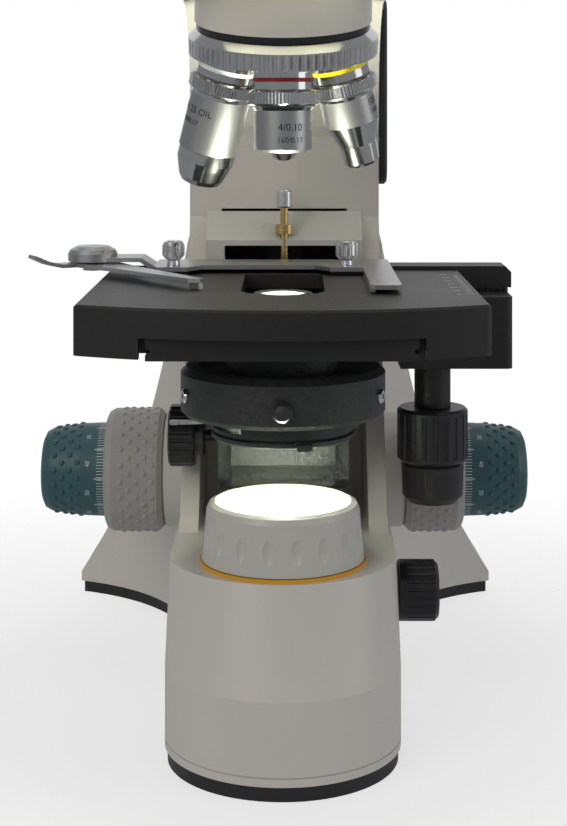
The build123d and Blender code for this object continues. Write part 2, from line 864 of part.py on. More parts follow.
with BuildPart() as drive_block:
    chamber = drive_radius + 0.75 * drive_module + 0.4
    block_between((block_left, block_front, block_low), (block_right, block_back, y_rack_low - 0.4))
    upper_left = y_rack_line + 0.75 * drive_module + 0.4
    block_between((upper_left, block_front, y_rack_low - 0.4), (block_right, block_back, block_top))
    fillet(
        drive_block.edges().filter_by(Axis.Z).group_by(Axis.X)[-1], radius=2.5,
    )
    block_between(
        (upper_left, block_front, block_top), (stage_half - skirt - 0.3, drive_y - chamber, plate_low)
    )
    frame = Plane(origin=(drive_x, drive_y, 0))
    tube_low = y_knob_top + running_gap
    turned(
        frame,
        [(0, tube_low), (drive_tube_radius, tube_low), (drive_tube_radius, block_low), (0, block_low)],
    )
    sleeve = 4.0 + shaft_gap
    turned(frame, [(0, 90), (sleeve, 90), (sleeve, 136), (0, 136)], Mode.SUBTRACT)
    turned(
        frame, [(0, y_rack_low - 0.3), (chamber, y_rack_low - 0.3), (chamber, 138.4), (0, 138.4)],
        Mode.SUBTRACT,
    )
    turned(frame, [(0, 130), (2.55, 130), (2.55, 150), (0, 150)], Mode.SUBTRACT)
    turned(frame, [(0, 143.9), (chamber, 143.9), (chamber, 160), (0, 160)], Mode.SUBTRACT)
save(drive_block, "drive_block")

with BuildPart() as y_knob:
    frame = Plane(origin=(drive_x, drive_y, 0))
    y_pinion_top = lower_low - 0.4
    turned(
        frame,
        [
            (2.55, y_knob_low), (y_knob_radius - 1.2, y_knob_low), (y_knob_radius, y_knob_low + 1.2),
            (y_knob_radius, y_knob_top - 1), (y_knob_radius - 1, y_knob_top), (4, y_knob_top),
            (4, y_pinion_top), (2.55, y_pinion_top),
        ],
    )
    with BuildSketch(Plane(origin=(drive_x, drive_y, y_rack_low + 0.2))):
        add(toothed_circle(drive_teeth, drive_module))
        Circle(3, mode=Mode.SUBTRACT)
    extrude(amount=y_pinion_top - y_rack_low - 0.2)
    with BuildSketch(Plane.XY.offset(y_knob_low + 2)):
        with Locations((drive_x, drive_y)):
            with PolarLocations(y_knob_radius + 0.3, 20):
                Circle(0.9)
    extrude(amount=y_knob_top - y_knob_low - 4, mode=Mode.SUBTRACT)
save(y_knob, "y_knob")

with BuildPart() as x_knob:
    x_knob_top = y_knob_low - running_gap
    turned(
        frame,
        [
            (0, x_knob_low), (x_knob_radius - 2.4, x_knob_low), (x_knob_radius - 0.4, x_knob_low + 2.4),
            (x_knob_radius, x_knob_top - 1), (x_knob_radius - 1, x_knob_top), (2.5, x_knob_top),
            (2.5, bar_low - 0.4), (0, bar_low - 0.4),
        ],
    )
    with BuildSketch(Plane(origin=(drive_x, drive_y, x_rack_low + 0.2))):
        add(toothed_circle(drive_teeth, drive_module))
    extrude(amount=bar_low - 0.4 - x_rack_low - 0.2)
save(x_knob, "x_knob")

with BuildPart() as x_bar:
    block_between((bar_left, bar_front, bar_low), (bar_right, bar_back, bar_top))
    chamfer(x_bar.faces().sort_by(Axis.X)[-1].edges().sort_by(Axis.Z)[-1], length=2.2)
    x_rack_line = drive_y + drive_radius
    x_rack_base = x_rack_line + 1.05 * drive_module
    with BuildSketch(
        Plane(
            origin=(drive_x - 5 * drive_pitch, x_rack_line, x_rack_low),
            x_dir=(-1, 0, 0), z_dir=(0, 0, 1),
        )
    ):
        add(rack_outline(36, drive_module, x_rack_back - x_rack_base))
    extrude(amount=bar_low - x_rack_low)
    # Lugs under the slide holder
    for screw_x in (screw_left_x, screw_right_x):
        block_between(
            (screw_x - 6, ear_front + 2, stage_z + running_gap), (screw_x + 6, bar_front + 1, bar_top)
        )
        turned(
            Plane(origin=(screw_x, screw_y, 0)), [(0, 150), (1.6, 150), (1.6, 160), (0, 160)],
            Mode.SUBTRACT,
        )
save(x_bar, "x_bar")

# Slide holder on the bar, with its sprung finger
tab_low = bar_top + 3.0
tab_top = tab_low + holder_thickness
holder_top = bar_top + holder_thickness
finger_low = bar_top + 1.1
finger_top = finger_low + finger_thickness
lip_low = stage_z + running_gap
with BuildPart() as slide_holder:
    with BuildSketch(Plane.XY.offset(bar_top)):
        with BuildLine():
            Polyline(
                (-47, holder_back), (-47, 50), (-45.6, ear_front), (-34.8, ear_front),
                (-29.5, holder_front), (11.3, holder_front), (16.7, ear_front),
                (jaw_left, ear_front), (jaw_left, jaw_front + 2), (jaw_left + 1.6, jaw_front),
                (jaw_right - 1.6, jaw_front), (jaw_right, jaw_front + 2), (jaw_right, holder_back),
                close=True,
            )
        make_face()
    extrude(amount=holder_thickness)
    block_between((jaw_left, jaw_front + 3, lip_low), (jaw_left + 1.8, ear_front - 2, bar_top))
    # Raised tab over the finger, and the spring housing on it
    with BuildSketch(Plane.XZ.offset(-50)):
        with BuildLine():
            Polyline(
                (-47, bar_top), (-47, holder_top), (-51.6, tab_top), (finger_x, tab_top),
                (finger_x, tab_low), (-52.2, tab_low), (-47.8, bar_top), close=True,
            )
        make_face()
    extrude(amount=-16)
    post = Plane(origin=(finger_x, finger_y, 0))
    turned(
        post,
        [
            (0, tab_low), (dome_radius, tab_low), (dome_radius, tab_top + 1.3),
            (dome_radius - 0.8, tab_top + 2.6), (dome_radius - 3, tab_top + 3.8), (0, tab_top + 3.8),
        ],
    )
    turned(
        post,
        [
            (0, finger_low - 1.6), (3.6, finger_low - 1.6), (3.6, finger_low - running_gap),
            (2, finger_low - running_gap), (2, tab_low), (0, tab_low),
        ],
    )
    for screw_x in (screw_left_x, screw_right_x):
        turned(
            Plane(origin=(screw_x, screw_y, 0)), [(0, 150), (1.6, 150), (1.6, 160), (0, 160)],
            Mode.SUBTRACT,
        )
save(slide_holder, "slide_holder")

for name, screw_x in (("holder_screw_left", screw_left_x), ("holder_screw_right", screw_right_x)):
    with BuildPart() as holder_screw:
        head_low = holder_top + 2.4
        turned(
            Plane(origin=(screw_x, screw_y, 0)),
            [
                (0, lip_low + 0.2), (1.5, lip_low + 0.2), (1.5, holder_top + 0.1),
                (2.4, holder_top + 0.1), (2.2, head_low - 0.8), (3.2, head_low), (4.1, head_low + 1.2),
                (4.1, head_low + 4.6), (3.4, head_low + 6), (2.4, head_low + 6.5), (0, head_low + 6.5),
            ],
        )
        with BuildSketch(Plane.XY.offset(head_low)):
            with Locations((screw_x, screw_y)):
                with PolarLocations(4.4, 16):
                    Circle(0.6)
        extrude(amount=8, mode=Mode.SUBTRACT)
    save(holder_screw, name)

with BuildPart() as slide_finger:
    reach = sqrt((finger_tip[0] - finger_x) ** 2 + (finger_tip[1] - finger_y) ** 2)
    turn = degrees(atan2(finger_tip[1] - finger_y, finger_tip[0] - finger_x))
    blade = Plane(origin=(finger_x, finger_y, finger_low), z_dir=(0, 0, 1)).rotated((0, 0, turn))
    with BuildSketch(blade):
        Circle(8.4)
        with BuildLine():
            Polyline(
                (2, -8.2), (26, -5.4), (reach - 4, -2.2), (reach, 0.2), (reach - 1, 2.2),
                (26, 4.8), (2, 8.2), close=True,
            )
        make_face()
        Circle(2 + shaft_gap, mode=Mode.SUBTRACT)
    extrude(amount=finger_thickness)
    # Lip that bears on the corner of the slide
    with BuildSketch(Plane(origin=(finger_x, finger_y, lip_low)).rotated((0, 0, turn))):
        with Locations((reach - 4, 1.0)):
            Rectangle(6, 1.6)
    extrude(amount=finger_low - lip_low)
    # Thumb lever, curled upwards
    lever = Plane(
        origin=(finger_x, finger_y, finger_low),
        x_dir=(-cos(radians(30)), -sin(radians(30)), 0),
        z_dir=(-sin(radians(30)), cos(radians(30)), 0),
    )
    with BuildSketch(lever):
        with BuildLine():
            Polyline(
                (7, 0), (13.4, 0), (18.6, 1.2), (23.8, 3.6), (23.4, 4.8), (18.2, 2.5),
                (13.2, finger_thickness), (7, finger_thickness), close=True,
            )
        make_face()
    extrude(amount=3.6, both=True)
save(slide_finger, "slide_finger")

# Condenser, its guide under the stage and its height drive
height_radius = height_teeth * height_module / 2
groove_front = guide_front + 1.0
groove_back = slide_back + running_gap
with BuildPart() as condenser_guide:
    block_between((-guide_half, guide_back - 6, seat_z + 13.5), (guide_half, guide_back, lower_low))
    for side in (-1, 1):
        inner_wall = side * (slide_half + running_gap)
        outer_wall = side * guide_half
        edges = sorted((inner_wall, outer_wall))
        block_between(
            (edges[0], guide_front, slide_low + 2), (edges[1], guide_back - 6, holder_ring_top - 6)
        )
        groove = sorted((inner_wall - side, side * (slide_half + 2.4)))
        block_between(
            (groove[0], groove_front, slide_low), (groove[1], groove_back, holder_ring_top),
            Mode.SUBTRACT,
        )
    cross_rod(-guide_half - 1, guide_half + 1, height_y, height_z, 2 + shaft_gap, Mode.SUBTRACT)
save(condenser_guide, "condenser_guide")

ring_bore = 18.6
with BuildPart() as condenser_holder:
    turned(
        Plane.XY,
        [
            (ring_bore, holder_ring_low), (holder_ring_radius - 1.5, holder_ring_low),
            (holder_ring_radius, holder_ring_low + 1.5), (holder_ring_radius, holder_ring_top - 2),
            (holder_ring_radius - 2, holder_ring_top), (holder_ring_radius - 6, holder_ring_top),
            (holder_ring_radius - 7, holder_ring_top - 2.5), (ring_bore, holder_ring_top - 2.5),
        ],
    )
    block_between(
        (-slide_half, guide_front - 4, slide_low + 8), (slide_half, slide_back, holder_ring_top)
    )
    block_between((-slide_half, guide_front, slide_low), (slide_half, slide_back, slide_low + 9))
    block_between(
        (-slide_half - 2.1, groove_front + running_gap, slide_low),
        (slide_half + 2.1, slide_back, holder_ring_top - 7),
    )
    turned(
        Plane.XY, [(0, 80), (ring_bore, 80), (ring_bore, 140), (0, 140)], Mode.SUBTRACT
    )
    # Room for the swung filter ring and the body flange above the slide plate
    turned(
        Plane.XY,
        [(0, slide_low - 1), (26.5, slide_low - 1), (26.5, holder_ring_low), (0, holder_ring_low)],
        Mode.SUBTRACT,
    )
    height_line = height_y - height_radius
    height_base = height_line - 1.05 * height_module
    with BuildSketch(
        Plane(
            origin=(-5, height_line, height_z + 4 * pi * height_module),
            x_dir=(0, 0, -1), z_dir=(1, 0, 0),
        )
    ):
        add(rack_outline(14, height_module, height_base - slide_back))
    extrude(amount=10)
    # Clamping knob at the front
    clamp = Plane(origin=(0, 0, 120.8), x_dir=(1, 0, 0), z_dir=(0, -1, 0))
    turned(
        clamp,
        [
            (0, 20), (1.5, 20), (1.5, 34.3), (2.4, 34.6), (3.3, 36.4), (3.3, 38), (2.4, 39.8),
            (0, 40.6),
        ],
    )
    for angle in (-22, 202):
        direction = (cos(radians(angle)), sin(radians(angle)), 0)
        turned(
            Plane(origin=(0, 0, 121.5), z_dir=direction), [(0, 29), (2.45, 29), (2.45, 40), (0, 40)],
            Mode.SUBTRACT,
        )
save(condenser_holder, "condenser_holder")

with BuildPart() as centring_screws:
    for angle in (-22, 202):
        direction = (cos(radians(angle)), sin(radians(angle)), 0)
        turned(
            Plane(origin=(0, 0, 121.5), z_dir=direction),
            [(0, 29.1), (2.4, 29.1), (2.4, 34.6), (1.9, 35.2), (0.9, 35.2), (0.9, 34.4), (0, 34.4)],
        )
save(centring_screws, "centring_screws")

flange_low = condenser_low + 2.1
iris_low = 110.2
with BuildPart() as condenser_body:
    turned(
        Plane.XY,
        [
            (16, flange_low), (condenser_radius - 0.8, flange_low),
            (condenser_radius, flange_low + 0.8), (condenser_radius, holder_ring_low - 0.8),
            (condenser_radius - 0.5, holder_ring_low - running_gap),
            (ring_bore - seat_gap, holder_ring_low - running_gap), (ring_bore - seat_gap, 134),
            (condenser_neck + 2, 138), (condenser_neck, 142), (condenser_neck, 148),
            (top_flange_radius, 150.5), (top_flange_radius, condenser_top - 0.5),
            (top_flange_radius - 0.5, condenser_top), (7.8, condenser_top), (7.8, 150),
            (7.2, 150), (7.2, 144), (14.6, 134), (14.6, 124), (16, 124),
        ],
    )
    # Slot in which the lever of the iris swings
    for step in range(-6, 7):
        angle = 188 + 7 * step
        direction = Plane(origin=(0, 0, iris_low), z_dir=(0, 0, 1)).rotated((0, 0, angle))
        with BuildSketch(direction):
            with Locations((20, 0)):
                Rectangle(12, 4.6)
        extrude(amount=2.6, mode=Mode.SUBTRACT)
    # Lug with the pin on which the filter holder swings
    with BuildSketch(Plane.XY.offset(flange_low)):
        with Locations(filter_pivot):
            Circle(4.6)
        Circle(condenser_radius - 1, mode=Mode.SUBTRACT)
    extrude(amount=4.5)
    pin_frame = Plane(origin=(filter_pivot[0], filter_pivot[1], 0))
    pin_low = condenser_low - running_gap - 0.9
    turned(
        pin_frame,
        [
            (0, pin_low), (2.4, pin_low), (2.4, pin_low + 0.9), (filter_pin_radius, pin_low + 0.9),
            (filter_pin_radius, flange_low + 1), (0, flange_low + 1),
        ],
    )
save(condenser_body, "condenser_body")

with BuildPart() as condenser_lenses:
    turned(
        Plane.XY,
        [(0, 150.1), (7.7, 150.1), (7.7, 153.2), (5, 153.7), (2.5, 153.9), (0, 154)],
    )
    turned(
        Plane.XY,
        [(0, 124.4), (14.5, 124.4), (14.5, 127), (11, 129.6), (6, 131.4), (0, 132.2)],
    )
save(condenser_lenses, "condenser_lenses")

with BuildPart() as iris_lever:
    turned(
        Plane.XY,
        [(9, iris_low + 0.6), (15.6, iris_low + 0.6), (15.6, iris_low + 2), (9, iris_low + 2)],
    )
    with BuildSketch(Plane(origin=(0, 0, iris_low + 0.7), z_dir=(0, 0, 1)).rotated((0, 0, 188))):
        with Locations((25, 0)):
            Rectangle(22, 2.2)
        with Locations((36, 0)):
            Circle(1.8)
    extrude(amount=1.2)
save(iris_lever, "iris_lever")

with BuildPart() as filter_holder:
    turned(
        Plane.XY,
        [
            (16.5, condenser_low), (condenser_radius - 0.6, condenser_low),
            (condenser_radius, condenser_low + 0.6), (condenser_radius, flange_low - running_gap),
            (16.5, flange_low - running_gap),
        ],
    )
    with BuildSketch(Plane.XY.offset(condenser_low)):
        with Locations(filter_pivot):
            Circle(4)
        with Locations((7, -condenser_radius - 0.6)):
            Rectangle(5, 3.4)
        with Locations(filter_pivot):
            Circle(filter_pin_radius + shaft_gap, mode=Mode.SUBTRACT)
    extrude(amount=flange_low - running_gap - condenser_low)
save(filter_holder, "filter_holder")

with BuildPart() as height_knob:
    along = Plane(origin=(0, height_y, height_z), x_dir=(0, 1, 0), z_dir=(-1, 0, 0))
    turned(
        along,
        [
            (0, -guide_half - 1), (1.9, -guide_half - 1), (1.9, 28), (6.4, 28), (7, 28.6), (7, 31.4),
            (height_knob_radius - 0.8, 31.4), (height_knob_radius, 32.2), (height_knob_radius, 40),
            (height_knob_radius - 1, 40.8), (0, 40.8),
        ],
    )
    with BuildSketch(Plane(origin=(-5.5, height_y, height_z), x_dir=(0, 1, 0), z_dir=(1, 0, 0))):
        add(toothed_circle(height_teeth, height_module))
    extrude(amount=11)
    with BuildSketch(Plane.YZ.offset(-42)):
        with Locations((height_y, height_z)):
            with PolarLocations(height_knob_radius + 0.3, 24):
                Circle(0.75)
    extrude(amount=10.4, mode=Mode.SUBTRACT)
save(height_knob, "height_knob")

# Turning nosepiece: its axis leans back, and each objective stands upright once it is in front
lean_sin = sin(radians(tilt))
lean_cos = cos(radians(tilt))
turret_frame = Plane(
    origin=(0, seat_circle * lean_cos, shoulder_z + seat_circle * lean_sin),
    x_dir=(1, 0, 0), z_dir=(0, -lean_sin, lean_cos),
)


def objective_frame(turn):
    """Seat of one objective: Z runs up its axis, and the shoulder is at height 0."""
    out = turret_frame.x_dir * sin(radians(turn)) - turret_frame.y_dir * cos(radians(turn))
    along = turret_frame.z_dir * lean_cos - out * lean_sin
    across = turret_frame.x_dir * cos(radians(turn)) + turret_frame.y_dir * sin(radians(turn))
    return Plane(origin=turret_frame.origin + out * seat_circle, x_dir=across, z_dir=along)


objective_turns = {"4x": 0, "10x": 90, "40x": 180, "100x": 270}

with BuildPart() as nosepiece_mount:
    turned(
        turret_frame,
        [
            (0, -3.6), (6.8, -3.6), (6.8, -2.0), (pivot_radius, -2.0),
            (pivot_radius, turret_top + running_gap), (mount_radius, turret_top + running_gap),
            (mount_radius, mount_top), (0, mount_top),
        ],
    )
    turned(Plane.XY, [(0, 200), (path_radius, 200), (path_radius, 270), (0, 270)], Mode.SUBTRACT)
save(nosepiece_mount, "nosepiece_mount")

with BuildPart() as turret:
    lean_tan = tan(radians(tilt))
    turned(
        turret_frame,
        [
            (pivot_radius + shaft_gap, -1.7), (seat_circle - 11.3, -1.7),
            (seat_circle + 9, 9 * lean_tan + 0.6), (29.4, 9 * lean_tan + 0.6), (29.8, knurl_low),
            (turret_radius, knurl_low), (turret_radius, knurl_top), (29.6, turret_top),
            (pivot_radius + shaft_gap, turret_top),
        ],
    )
    for turn in objective_turns.values():
        with BuildSketch(objective_frame(turn)) as boss:
            Circle(11)
        extrude(boss.sketch, amount=4)
    for turn in objective_turns.values():
        turned(
            objective_frame(turn),
            [
                (0, -4), (thread_radius + shaft_gap, -4), (thread_radius + shaft_gap, 6),
                (8.5, 6), (8.5, 22), (0, 22),
            ],
            Mode.SUBTRACT,
        )
    # Knurling
    with BuildSketch(
        Plane(
            origin=turret_frame.origin + turret_frame.z_dir * (knurl_low + 0.6),
            x_dir=turret_frame.x_dir, z_dir=turret_frame.z_dir,
        )
    ) as knurl:
        with PolarLocations(turret_radius + 0.25, 72):
            Rectangle(0.95, 0.95, rotation=45)
    extrude(knurl.sketch, amount=knurl_top - knurl_low - 1.2, mode=Mode.SUBTRACT)
    turned(
        turret_frame,
        [(0, -10), (pivot_radius + shaft_gap, -10), (pivot_radius + shaft_gap, 20), (0, 20)],
        Mode.SUBTRACT,
    )
save(turret, "turret")

# Each objective is as long as its power needs: outline of the barrel below the knurled grip
barrels = {
    "4x": lambda end: [(9.6, -12.5), (9.6, 1 - end), (8.8, -end)],
    "10x": lambda end: [(9.6, -12.5), (9.6, -22), (6.5, -30), (6.2, 1 - end), (5.4, -end)],
    "40x": lambda end: [
        (10.2, -12.5), (10.2, -28), (8.6, -29.5), (8.6, -36), (4.4, 1.2 - end), (2.8, -end),
    ],
    "100x": lambda end: [
        (10.3, -12.5), (10.3, -32), (10, -32.3), (10, -36), (9.4, -38), (7.9, 2.3 - end),
        (6.8, 0.6 - end), (5.5, -end),
    ],
}
front_lens_radii = {"4x": 5.0, "10x": 3.0, "40x": 2.2, "100x": 1.4}
grip_radius = 12.0
for power, end in magnifications.items():
    bore = front_lens_radii[power]
    with BuildPart() as objective:
        turned(
            objective_frame(objective_turns[power]),
            [
                (7.2, 4.2), (thread_radius, 4.2), (thread_radius, 0), (10.3, 0), (10.3, -5.4),
                (11.4, -5.9), (grip_radius, -6.4), (grip_radius, -10.3), (11.4, -10.8),
                (10.4, -11.4), *barrels[power](end), (bore, -end), (bore, 8 - end),
                (7.2, 12 - end),
            ],
        )
    save(objective, f"objective_{power}")

with BuildPart() as objective_lenses:
    for power, end in magnifications.items():
        frame = objective_frame(objective_turns[power])
        rear = 7.2 - seat_gap
        front = front_lens_radii[power] - seat_gap
        turned(frame, [(0, -7), (rear, -7), (rear, -4.6), (rear / 2, -4), (0, -3.8)])
        turned(frame, [(0, 0.5 - end), (front, 0.5 - end), (front, 3 - end), (0, 3.5 - end)])
save(objective_lenses, "objective_lenses")

# Upper arm, which carries the nosepiece below and the head above
with BuildPart() as upper_arm:
    arch = arm_low - pillar_top - 11
    with BuildSketch(Plane.XY.offset(pillar_top)):
        with BuildLine():
            ThreePointArc((nose_radius, 0), (0, -nose_radius), (-nose_radius, 0))
            Polyline(
                (-nose_radius, 0), (-pillar_half, 60), (-pillar_half, pillar_back),
                (pillar_half, pillar_back), (pillar_half, 60), (nose_radius, 0),
            )
        make_face()
    extrude(amount=arm_top - pillar_top)
    fillet(upper_arm.edges().filter_by(Axis.Z).group_by(Axis.Y)[-1], radius=pillar_corner)
    with BuildSketch(Plane.YZ):
        with BuildLine():
            Polyline((pillar_front + 1, pillar_top), (pillar_front, pillar_top + 4),
                     (pillar_front, pillar_top + 11))
            ThreePointArc(
                (pillar_front, pillar_top + 11),
                (pillar_front - arch * (1 - sqrt(0.5)), pillar_top + 11 + arch * sqrt(0.5)),
                (pillar_front - arch, arm_low),
            )
            Polyline((pillar_front - arch, arm_low), (-nose_radius - 1, arm_low),
                     (-nose_radius - 1, arm_top - 4.5))
            Line((-nose_radius - 1, arm_top - 4.5), (-nose_radius + 4, arm_top))
            Line((-nose_radius + 4, arm_top), (118, arm_top))
            ThreePointArc((118, arm_top), (140.6, arm_top - 9.4), (pillar_back, arm_top - 32))
            Polyline((pillar_back, arm_top - 32), (pillar_back, pillar_top),
                     (pillar_front + 1, pillar_top))
        make_face()
    extrude(amount=pillar_half + 5, both=True, mode=Mode.INTERSECT)
    # Round housing that leans down to the nosepiece
    turned(turret_frame, [(0, mount_top), (barrel_radius, mount_top), (barrel_radius, 31.5), (0, 31.5)])
    block_between((-50, -60, arm_top), (50, 60, arm_top + 20), Mode.SUBTRACT)
    # Light path, seat of the head and its clamping screw
    turned(Plane.XY, [(0, 230), (path_radius, 230), (path_radius, 290), (0, 290)], Mode.SUBTRACT)
    turned(
        Plane.XY,
        [(0, arm_top - 5), (head_socket, arm_top - 5), (head_socket, arm_top + 5), (0, arm_top + 5)],
        Mode.SUBTRACT,
    )
    cross_rod(0, nose_radius + 5, 0, lock_z, 1.5 + shaft_gap, Mode.SUBTRACT)
save(upper_arm, "upper_arm")

with BuildPart() as arm_side_plate:
    with BuildSketch(Plane.YZ.offset(pillar_half)):
        with Locations((116, 221)):
            Rectangle(24, 74)
    extrude(amount=3.6)
    fillet(arm_side_plate.edges().filter_by(Axis.X), radius=8)
    chamfer(arm_side_plate.faces().sort_by(Axis.X)[-1].edges(), length=1)
save(arm_side_plate, "arm_side_plate")

# Head: it turns on the arm, and its two eyepiece arms fold about one slanted hinge
incline = radians(tube_incline)
hinge_frame = Plane(
    origin=(0, hinge_y, hinge_z), x_dir=(1, 0, 0), z_dir=(0, -cos(incline), sin(incline)),
)
head_low = arm_top + head_gap
seat_height = head_low + ring_seat_height


def along_hinge(frame_x, frame_y, level=0):
    """Frame parallel to the hinge, moved sideways and along it."""
    place = (
        hinge_frame.origin + hinge_frame.x_dir * frame_x + hinge_frame.y_dir * frame_y
        + hinge_frame.z_dir * level
    )
    return Plane(origin=place, x_dir=hinge_frame.x_dir, z_dir=hinge_frame.z_dir)


with BuildPart() as head_housing:
    face_low = (hinge_y - 13.5, hinge_z - 23.4)
    face_high = (hinge_y + 12.0, hinge_z + 20.8)
    side_profile(
        [
            (34, seat_height), (34, hinge_z - 1), (-10, hinge_z + 23), face_high, face_low,
            (-36, seat_height),
        ],
        head_half,
    )
    fillet(head_housing.edges().filter_by(Axis.Z), radius=9)
    chamfer(head_housing.faces().filter_by(Axis.Y, reverse=False).sort_by(Axis.Y)[-1].edges(), length=2)
    turned(
        Plane.XY,
        [
            (0, head_low), (ring_seat_radius, head_low), (ring_seat_radius, seat_height + 1),
            (0, seat_height + 1),
        ],
    )
    turned(
        Plane.XY,
        [
            (0, arm_top - 4.6), (head_socket - 0.3, arm_top - 4.6),
            (head_socket - 0.3, head_low + 1), (0, head_low + 1),
        ],
    )
    turned(hinge_frame, [(0, -3), (spindle_radius, -3), (spindle_radius, 15.2), (0, 15.2)])
    turned(
        Plane.XY,
        [(0, arm_top - 10), (path_radius, arm_top - 10), (path_radius, hinge_z - 5), (0, hinge_z - 5)],
        Mode.SUBTRACT,
    )
save(head_housing, "head_housing")

with BuildPart() as hub_cap:
    turned(
        hinge_frame,
        [(0, 15.2), (arm_ring_radius, 15.2), (arm_ring_radius, 17.6), (arm_ring_radius - 1.4, 18.8), (0, 18.8)],
    )
save(hub_cap, "hub_cap")

with BuildPart() as head_lock_screw:
    turned(
        Plane(origin=(0, 0, lock_z), x_dir=(0, 1, 0), z_dir=(1, 0, 0)),
        [
            (0, head_socket + 0.3), (1.5, head_socket + 0.3), (1.5, nose_radius + 0.4),
            (4.4, nose_radius + 0.4), (5, nose_radius + 1), (5, nose_radius + 8.4),
            (4.4, nose_radius + 9), (0, nose_radius + 9),
        ],
    )
save(head_lock_screw, "head_lock_screw")

# Each arm turns on the hinge with a ring of its own, the right ring outside the left one
rise = acos(eye_distance / 2 / hinge_radius)
eye_x = hinge_radius * cos(rise)
eye_y = hinge_radius * sin(rise)
arm_front = running_gap + arm_depth
tube_end = arm_front + eye_tube_length
eye_arms = {}
for side, name in ((-1, "left_eye_arm"), (1, "right_eye_arm")):
    ring_low = running_gap if side < 0 else running_gap + 7.3
    lean = rise if side > 0 else pi - rise
    pole = (cos(lean), sin(lean))
    with BuildPart() as eye_arm:
        eye_frame = along_hinge(side * eye_x, eye_y)
        with BuildSketch(along_hinge(0, 0, running_gap)):
            with Locations((side * eye_x, eye_y)):
                Circle(eye_boss_radius)
            with Locations((22 * pole[0], 22 * pole[1])):
                Circle(11)
            make_hull()
            Circle(arm_ring_radius + running_gap, mode=Mode.SUBTRACT)
        extrude(amount=arm_depth)
        with BuildSketch(along_hinge(0, 0, ring_low)):
            Circle(arm_ring_radius)
            with Locations(Location((19 * pole[0], 19 * pole[1], 0), (0, 0, degrees(lean)))):
                Rectangle(10, 18)
            Circle(spindle_radius + shaft_gap, mode=Mode.SUBTRACT)
        extrude(amount=7)
        turned(
            eye_frame,
            [
                (0, arm_front - 1), (eye_tube_radius, arm_front - 1), (eye_tube_radius, tube_end),
                (0, tube_end),
            ],
        )
        turned(
            eye_frame,
            [
                (0, 6), (eyepiece_bore + shaft_gap, 6), (eyepiece_bore + shaft_gap, tube_end + 1),
                (0, tube_end + 1),
            ],
            Mode.SUBTRACT,
        )
    save(eye_arm, name)

left_eye = along_hinge(-eye_x, eye_y)
right_eye = along_hinge(eye_x, eye_y)
ring_top_level = tube_end - 4.3
with BuildPart() as dioptre_ring:
    turned(
        left_eye,
        [
            (eye_tube_radius + shaft_gap, ring_top_level - 10), (16.2, ring_top_level - 10),
            (16.8, ring_top_level - 9.4), (16.8, ring_top_level - 0.6), (16.2, ring_top_level),
            (eye_tube_radius + shaft_gap, ring_top_level),
        ],
    )
    with BuildSketch(along_hinge(-eye_x, eye_y, ring_top_level - 9)):
        with PolarLocations(17.2, 36):
            Circle(0.7)
    extrude(amount=8, mode=Mode.SUBTRACT)
save(dioptre_ring, "dioptre_ring")

for frame, name in ((left_eye, "left"), (right_eye, "right")):
    with BuildPart() as eyepiece:
        turned(
            frame,
            [
                (9, tube_end - 28), (eyepiece_bore, tube_end - 28), (eyepiece_bore, tube_end),
                (16, tube_end), (16.4, tube_end + 0.6), (17.2, tube_end + 19), (17.6, tube_end + 20),
                (18, tube_end + 29), (17, tube_end + 30), (15.6, tube_end + 30),
                (14.2, tube_end + 24), (10.85, tube_end + 23.2), (10.85, tube_end + 19), (9, tube_end + 19),
            ],
        )
    save(eyepiece, f"{name}_eyepiece")
    with BuildPart() as eye_lens:
        turned(
            frame,
            [
                (0, tube_end + 19.1), (10.8, tube_end + 19.1), (10.8, tube_end + 20.4),
                (8, tube_end + 21.9), (4, tube_end + 22.8), (0, tube_end + 23.1),
            ],
        )
    save(eye_lens, f"{name}_eye_lens")
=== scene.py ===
import bmesh
import bpy
from math import atan2, cos, pi, radians, sin
from mathutils import Matrix, Vector


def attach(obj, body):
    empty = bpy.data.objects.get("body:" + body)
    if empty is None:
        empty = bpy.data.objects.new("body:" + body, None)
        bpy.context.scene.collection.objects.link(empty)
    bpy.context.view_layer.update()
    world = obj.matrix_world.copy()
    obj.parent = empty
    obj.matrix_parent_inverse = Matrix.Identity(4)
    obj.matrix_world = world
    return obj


# A binocular microscope with its lamp lit, on a white table.
# Lengths with MM are written in millimetres, and the scene is in metres in the frame of the parts.

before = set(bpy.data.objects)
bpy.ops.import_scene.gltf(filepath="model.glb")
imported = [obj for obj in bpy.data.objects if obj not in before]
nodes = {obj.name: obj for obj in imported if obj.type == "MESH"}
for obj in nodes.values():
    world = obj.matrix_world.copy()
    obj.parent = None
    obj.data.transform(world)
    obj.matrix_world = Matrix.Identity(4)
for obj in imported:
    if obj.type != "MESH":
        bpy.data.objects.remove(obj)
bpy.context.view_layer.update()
MM = 0.001
ORIGIN = (0, 0, 0)
ACROSS = (1, 0, 0)
DEEP = (0, 1, 0)
UP = (0, 0, 1)


# Shader building

